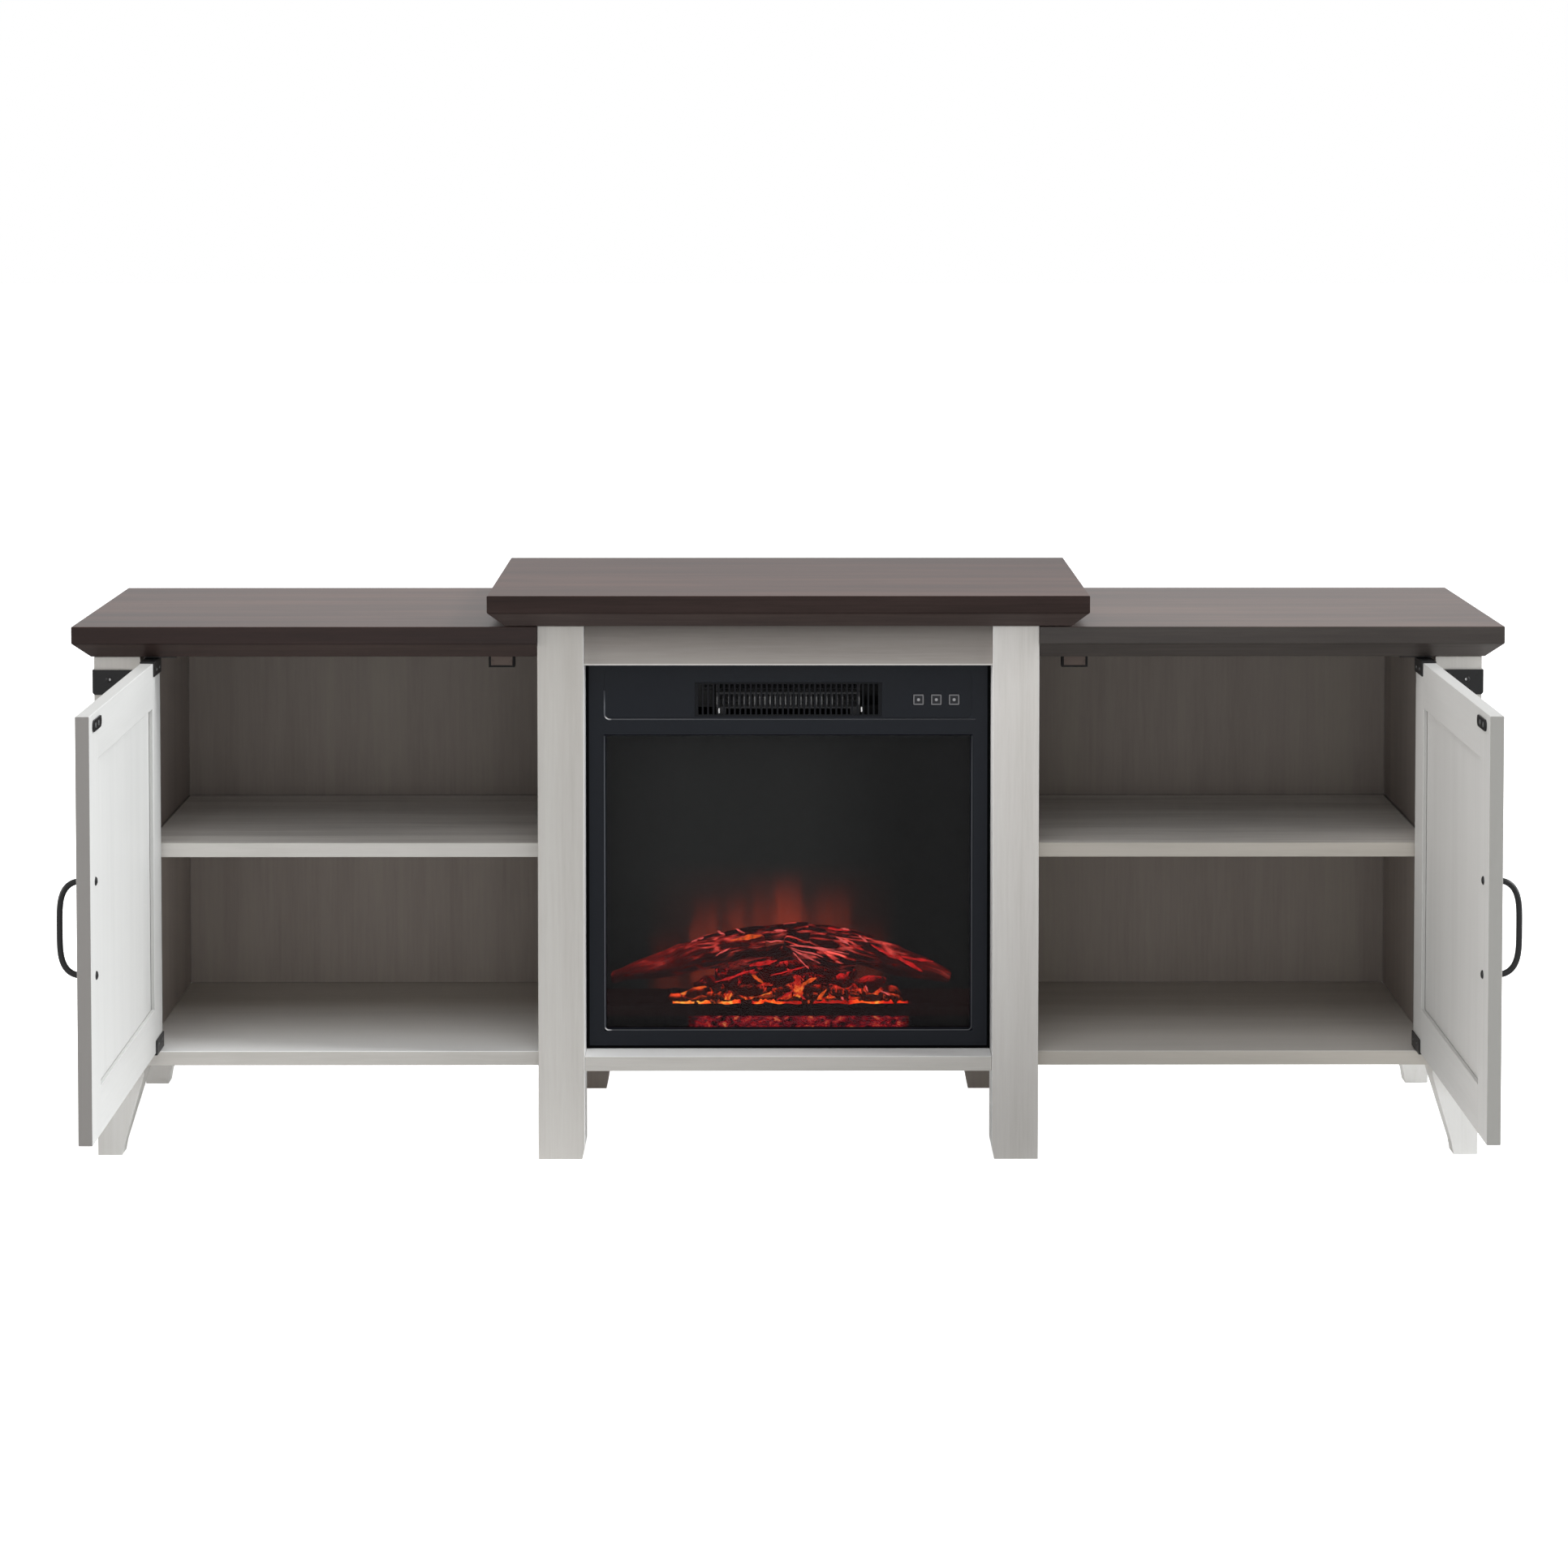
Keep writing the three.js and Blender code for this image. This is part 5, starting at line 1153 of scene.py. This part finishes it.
def add_fasteners():
    """Small screws on the strike plates and brackets, and the bolt of each corner strap."""
    bolt_metal = plain("bolt_metal")
    screw_metal = plain("screw_metal")
    for side, hand in SIDES.items():
        shape = Shape()
        low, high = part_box(f"{side}_strike_plate")
        add_plate_screws(shape, f"{side}_strike_plate", hand, (low.z + high.z) / 2, PLATE_SCREWS,
                         PLATE_SCREW)
        door_low, door_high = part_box(f"{side}_door_frame")
        ends = {"top": door_high.z - BRACKET_SCREW_EDGE, "bottom": door_low.z + BRACKET_SCREW_EDGE}
        for end, z in ends.items():
            add_plate_screws(shape, f"{side}_{end}_hinge_bracket", hand, z, BRACKET_SCREWS, BRACKET_SCREW)
        shape.finish(f"{side}_door_screws", f"{side}_door", "black_metal", screw_metal)
        low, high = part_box(f"{side}_corner_strap")
        x = (high.x if hand > 0 else low.x) - hand * BOLT_PLACE[0]
        bolt = Shape()
        bolt.dome((x, low.y + 0.5 * MM, (low.z + high.z) / 2 + BOLT_PLACE[1]), (0, -1, 0), STRAP_BOLT)
        bolt.finish(f"{side}_strap_bolt", "stand", "bright_metal", bolt_metal)


def rounded(x, y, z, start, radius):
    """Points of a quarter turn in a plane of constant Y, round a centre."""
    angles = [start + pi / 2 * k / CORNER_STEPS for k in range(CORNER_STEPS + 1)]
    return [Vector((x, y, z)) + Vector((cos(a), 0, sin(a))) * radius for a in angles]


def add_trims():
    """Painted highlights as grey beads inside the window's edge and under the control band, and the
    vent's posts.
    """
    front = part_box("fireplace_fascia")[0].y
    shape = Shape()
    left, right, bottom, top = mm(*WINDOW_LINE)
    depth, width, radius = WINDOW_BEAD
    y = front + depth
    shape.bead([Vector((left, y, top)),
                *rounded(left + radius, y, bottom + radius, pi, radius),
                *rounded(right - radius, y, bottom + radius, -pi / 2, radius),
                Vector((right, y, top))], width)
    left, right, bottom, top = mm(*BAND_LINE)
    depth, width, radius = BAND_BEAD
    y = front + depth
    shape.bead([Vector((left, y, top)),
                *rounded(left + radius, y, bottom + radius, pi, radius),
                Vector((right, y, bottom))], width)
    shape.finish("front_lines", "stand", "black_plastic", highlight_line_plastic())
    posts = Shape()
    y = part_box("vent_grille")[0].y - 0.2 * MM
    for x, z in HEATER_POSTS:
        posts.bead([Vector((x * MM, y, (z + rise) * MM)) for rise in POST_STEPS], POST_WIDTH)
    posts.finish("heater_posts", "stand", "bright_metal", plain("post_metal"))


def add_shadow_gap_strip():
    """A dull black strip round the fireplace's front, standing for the shadow in the gap round it:
    painted shadow.
    """
    low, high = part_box("fireplace_fascia")
    width, thickness = SHADOW_GAP_STRIP
    back = low.y + 0.2 * MM
    front = low.y - thickness
    shape = Shape()
    rings = []
    for inset, y in ((0.05 * MM, back), (0.05 * MM, front), (width - 0.5 * MM, front), (width, back)):
        left, right, bottom, top = low.x + inset, high.x - inset, low.z + inset, high.z - inset
        rings.append([Vector((left, y, bottom)), Vector((right, y, bottom)),
                      Vector((right, y, top)), Vector((left, y, top))])
    shape.skin(rings + [rings[0]], caps=False)
    bmesh.ops.remove_doubles(shape.mesh, verts=shape.mesh.verts, dist=0.001 * MM)
    shape.finish("edge_trim", "stand", "black_plastic", plain("shadow_gap_black"), smooth=False)


def add_blower_casing():
    """The curved sheet behind the blower wheel, which keeps the view through the vent dark."""
    low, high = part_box("blower_wheel")
    axis = (low + high) / 2
    radius = (high.z - low.z) / 2 + CASING_GAP
    rows = []
    for offset in (0.0, CASING_THICKNESS):
        angles = [radians(CASING_ARC[0] + CASING_ARC[1] * k / CASING_STEPS)
                  for k in range(CASING_STEPS + 1)]
        rows.append([Vector((0, axis.y, axis.z)) + Vector((0, cos(a), sin(a))) * (radius + offset)
                     for a in angles])
    outline = rows[0] + rows[1][::-1]
    ends = (low.x + CASING_ENDS[0], high.x + CASING_ENDS[1])
    shape = Shape()
    shape.skin([[point + Vector((x, 0, 0)) for point in outline] for x in ends])
    shape.finish("blower_casing", "stand", "dark_steel", casing_steel(), smooth=False)


def finish_ember(shape, name, material, smooth=True):
    """One of the pieces that stand for the log set."""
    return shape.finish(name, "stand", "log_resin", material, "log_set", smooth)


def add_bed_piece(name, rings, material):
    """A broken, flat-sided skin of embers or resin."""
    shape = Shape()
    shape.skin(rings)
    return finish_ember(shape, name, material, smooth=False)


def add_tray():
    """The ember tray: a dark ledge with a glowing strip under it."""
    low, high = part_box("log_set")
    rings = []
    for column in range(TRAY_COLUMNS + 1):
        x = low.x + (high.x - low.x) * column / TRAY_COLUMNS
        ring = []
        for k, (depth, height) in enumerate(TRAY_PROFILE):
            point = Vector((x, BED.y + depth * MM, BED.z + height * MM))
            if k > STRIP[1] + 1:
                point.z += lump(x * 60, depth, 1.0) * 2.0 * MM
                point.y += abs(lump(x * 45, depth, 9.0)) * 1.6 * MM
            ring.append(point)
        ring.append(Vector((x, high.y - 0.2 * MM, BED.z)))
        rings.append(ring)
    tray = add_bed_piece("ember_tray", rings, tray_resin())
    tray.data.materials.append(strip_material())
    count = len(TRAY_PROFILE) + 1
    for face in tray.data.polygons:
        if sorted({vertex % count for vertex in face.vertices}) == list(STRIP):
            face.material_index = 1


def add_ember_line():
    """The bright line of embers along the front of the tray."""
    rings = []
    for step in range(LINE_STEPS + 1):
        x = (LINE_ENDS[0] + (LINE_ENDS[1] - LINE_ENDS[0]) * step / LINE_STEPS) * MM
        crest = (3.2 + 4.6 * max(0.0, lump(x * 55, 3.0, 0.0))
                 + 5.4 * max(0.0, lump(x * 190, 7.0, 0.0))) * MM
        place = Vector((x, BED.y + LINE_PLACE[0], BED.z + LINE_PLACE[1]))
        rings.append([place, place + Vector((0, 3.2 * MM, 0)), place + Vector((0, 2.2 * MM, crest)),
                      place + Vector((0, 0.6 * MM, crest))])
    add_bed_piece("ember_line", rings, line_material())


def mound_height(x):
    """Height of the ember mound over the tray's floor, in millimetres, x millimetres from the middle."""
    return MOUND_FOOT + MOUND_RISE * max(0.0, 1 - (x / MOUND_HALF) ** 2) ** 0.8


def add_mound():
    """The glowing mound that shows between the coals."""
    rings = []
    for column in range(MOUND_COLUMNS + 1):
        x = MOUND_ENDS[0] + (MOUND_ENDS[1] - MOUND_ENDS[0]) * column / MOUND_COLUMNS
        rise = mound_height(x) - MOUND_HEIGHT[1]
        ring = []
        for share in MOUND_SLOPE:
            rough = lump(x * 0.09, share * 4, 5.0) * 3
            depth = MOUND_DEPTH[0] + MOUND_DEPTH[1] * share + rough
            height = MOUND_HEIGHT[0] + rise * sin(share * pi / 2)
            ring.append(Vector((x * MM, BED.y + depth * MM, BED.z + height * MM)))
        ring.append(Vector((x * MM, BED.y + MOUND_DEPTH[2] * MM, BED.z + MOUND_HEIGHT[2] * MM)))
        rings.append(ring)
    add_bed_piece("ember_mound", rings, mound_material())


def add_coals():
    """Broken dark coals in rows over the mound."""
    chance = random.Random(11)
    shape = Shape()
    glow = shape.glow_layer()
    for row, (depth, count, low_size, high_size) in enumerate(COAL_ROWS):
        reach = COAL_REACH - COAL_NARROWER * row
        share = row / (len(COAL_ROWS) - 1)
        for i in range(count):
            x = -reach + 2 * reach * (i + chance.uniform(-0.3, 0.3)) / (count - 1)
            size = chance.uniform(low_size, high_size)
            lift = 46 + (mound_height(x) - MOUND_FOOT) * share + chance.uniform(-2, 2)
            back = depth + chance.uniform(-1.5, 1.5)
            centre = Vector((x * MM, BED.y + back * MM, BED.z + (lift + size * 0.3) * MM))
            tilt = Matrix.Rotation(chance.uniform(-0.5, 0.5), 3, "Y")
            turn = tilt @ Matrix.Rotation(chance.uniform(0, 1.2), 3, "X")
            made = bmesh.ops.create_icosphere(shape.mesh, subdivisions=3, radius=size * MM)["verts"]
            stretch = chance.uniform(1.1, 1.7)
            heat = chance.choice(COAL_HEATS)
            for vertex in made:
                upward = (turn @ vertex.co).normalized().z
                broad = noise.noise(vertex.co * 120 + Vector((i * 3.1, row * 7.7, 0)))
                fine = noise.noise(vertex.co * 380 + Vector((i * 1.3, 0, row)))
                bumpy = 1 + 0.42 * broad + 0.16 * fine
                spot = Vector((vertex.co.x * stretch, vertex.co.y * 0.8, vertex.co.z * 0.72)) * bumpy
                vertex.co = centre + turn @ spot
                vertex[glow] = (heat * clamp((upward - 0.5) / 0.3), 0.0, 0.0, 1.0)
    return finish_ember(shape, "coals", coal_material())


def log_rings(seed, start, end, thick, bow):
    """Rings of points round a bowed log with ridged bark, and the outward direction of each point."""
    length = (end - start).length
    along = (end - start).normalized()
    sideways = along.cross(Vector((0, 0, 1))).normalized()
    upward = sideways.cross(along)
    rings = []
    directions = []
    for i in range(LOG_RINGS):
        share = i / (LOG_RINGS - 1)
        middle = start.lerp(end, share)
        middle += upward * (bow * MM * sin(share * pi)
                            + 2.6 * MM * lump(share * 4, seed * 5.3, 0))
        taper = 1 - 0.25 * (2 * share - 1) ** 4
        taper *= 0.5 + 0.5 * clamp((205 - abs(middle.x) / MM) / 70)
        if i in (0, LOG_RINGS - 1):
            taper *= 0.75
        ring = []
        outwards = []
        for angle in circle(LOG_SIDES):
            spot = Vector((cos(angle), sin(angle), 0))
            ridge = noise.noise(spot * 2.2 + Vector((0, 0, share * length * 10 + seed * 11)))
            fine = noise.noise(spot * 7 + Vector((0, 0, share * length * 40 + seed * 7)))
            radius = thick * MM * taper * (1 + 0.2 * ridge + 0.09 * fine)
            outward = cos(angle) * sideways + sin(angle) * upward
            ring.append(middle + radius * outward)
            outwards.append(outward)
        rings.append(ring)
        directions.append(outwards)
    return rings, directions


def log_glow(place, outward, crack_glow, dull_glow):
    """The glow of the cracks and the dull glow at one point of a log."""
    lit = max(0.0, outward.z * 0.8 - outward.y * 0.3)
    reach = abs(place.x) / MM
    far = clamp((reach - 105) / 60)
    ending = clamp((reach - 175) / 40)
    red = crack_glow * min(1.0, 0.1 + lit * 1.3) * (1 - 0.7 * far)
    green = dull_glow * lit * (0.25 + 0.75 * far) * (1 - 0.85 * ending)
    return (red, green, 0.0, 1.0)


def add_logs():
    """Charred logs in a loose arch, each with ridged bark and broken ends."""
    shape = Shape()
    bark = shape.mesh.loops.layers.uv.new("along")
    glow = shape.glow_layer()
    for seed, (start, end, thick, bow, crack_glow, dull_glow) in enumerate(LOGS):
        start, end = (Vector((x * MM, BED.y + y * MM, z * MM)) for x, y, z in (start, end))
        rings, directions = log_rings(seed, start, end, thick, bow)
        before = len(shape.mesh.faces)
        rows = shape.skin(rings)
        for row, outwards in zip(rows, directions):
            for vertex, outward in zip(row, outwards):
                vertex[glow] = log_glow(vertex.co, outward, crack_glow, dull_glow)
        around = 2 * pi * thick * MM / LOG_SIDES
        step = (end - start).length / (LOG_RINGS - 1)
        shape.mesh.faces.ensure_lookup_table()
        for number, face in enumerate(shape.mesh.faces[before:-2]):
            i, k = divmod(number, LOG_SIDES)
            for loop, (ring, spoke) in zip(face.loops, ((i, k), (i, k + 1), (i + 1, k + 1), (i + 1, k))):
                loop[bark].uv = (ring * step + seed * 1.7, spoke * around + seed * 0.9)
    logs = finish_ember(shape, "logs", char_material())
    for face in logs.data.polygons:
        face.use_smooth = len(face.vertices) == 4
    return logs


def add_splinters(pile):
    """Thin glowing cracks and splinters that lie on the front of the pile."""
    trees = [BVHTree.FromObject(piece, bpy.context.evaluated_depsgraph_get()) for piece in pile]
    shape = Shape()
    glow = shape.glow_layer()
    sight = Vector((0, 1, -FIRE_SLOPE))
    for seed, (left, left_height, right, right_height, half_width, tone) in enumerate(SPLINTERS):
        places = []
        depths = []
        for step in range(SPLINTER_STEPS + 1):
            share = step / SPLINTER_STEPS
            sway = 1.6 * lump(share * 3, seed * 2.7, 0)
            x = left + (right - left) * share
            z = left_height + (right_height - left_height) * share + sway
            place = Vector((x * MM, BED.y, z * MM))
            hits = [tree.ray_cast(place - sight * 10 * MM, sight.normalized())[0] for tree in trees]
            places.append(place)
            depths.append(min([hit.y - BED.y for hit in hits if hit is not None] + [SPLINTER_DEPTH]))
        points = []
        radii = []
        for step, place in enumerate(places):
            share = step / SPLINTER_STEPS
            uneven = 0.8 + 0.7 * lump(share * 5, seed * 1.9, 4)
            radius = 1.4 * half_width * MM * uneven * sin(pi * (0.1 + 0.8 * share))
            depth = min(depths[max(0, step - 2):step + 3]) - 0.5 * radius
            points.append(place + sight * depth)
            radii.append(radius)
        for row in shape.tube(points, radii, 10):
            for vertex in row:
                vertex[glow] = linear(EMBERS[tone])
    finish_ember(shape, "splinters", splinter_material())


def finish_scene():
    bpy.context.scene.view_settings.view_transform = "Standard"


add_camera()
add_lights()
add_world()
add_floor()
finish_wood()
metal = finish_metal()
add_handles(metal)
add_fasteners()
add_trims()
add_shadow_gap_strip()
add_blower_casing()
finish_glass()
finish_screen()
add_tray()
add_ember_line()
add_mound()
coals = add_coals()
logs = add_logs()
add_splinters([coals, logs])
finish_scene()
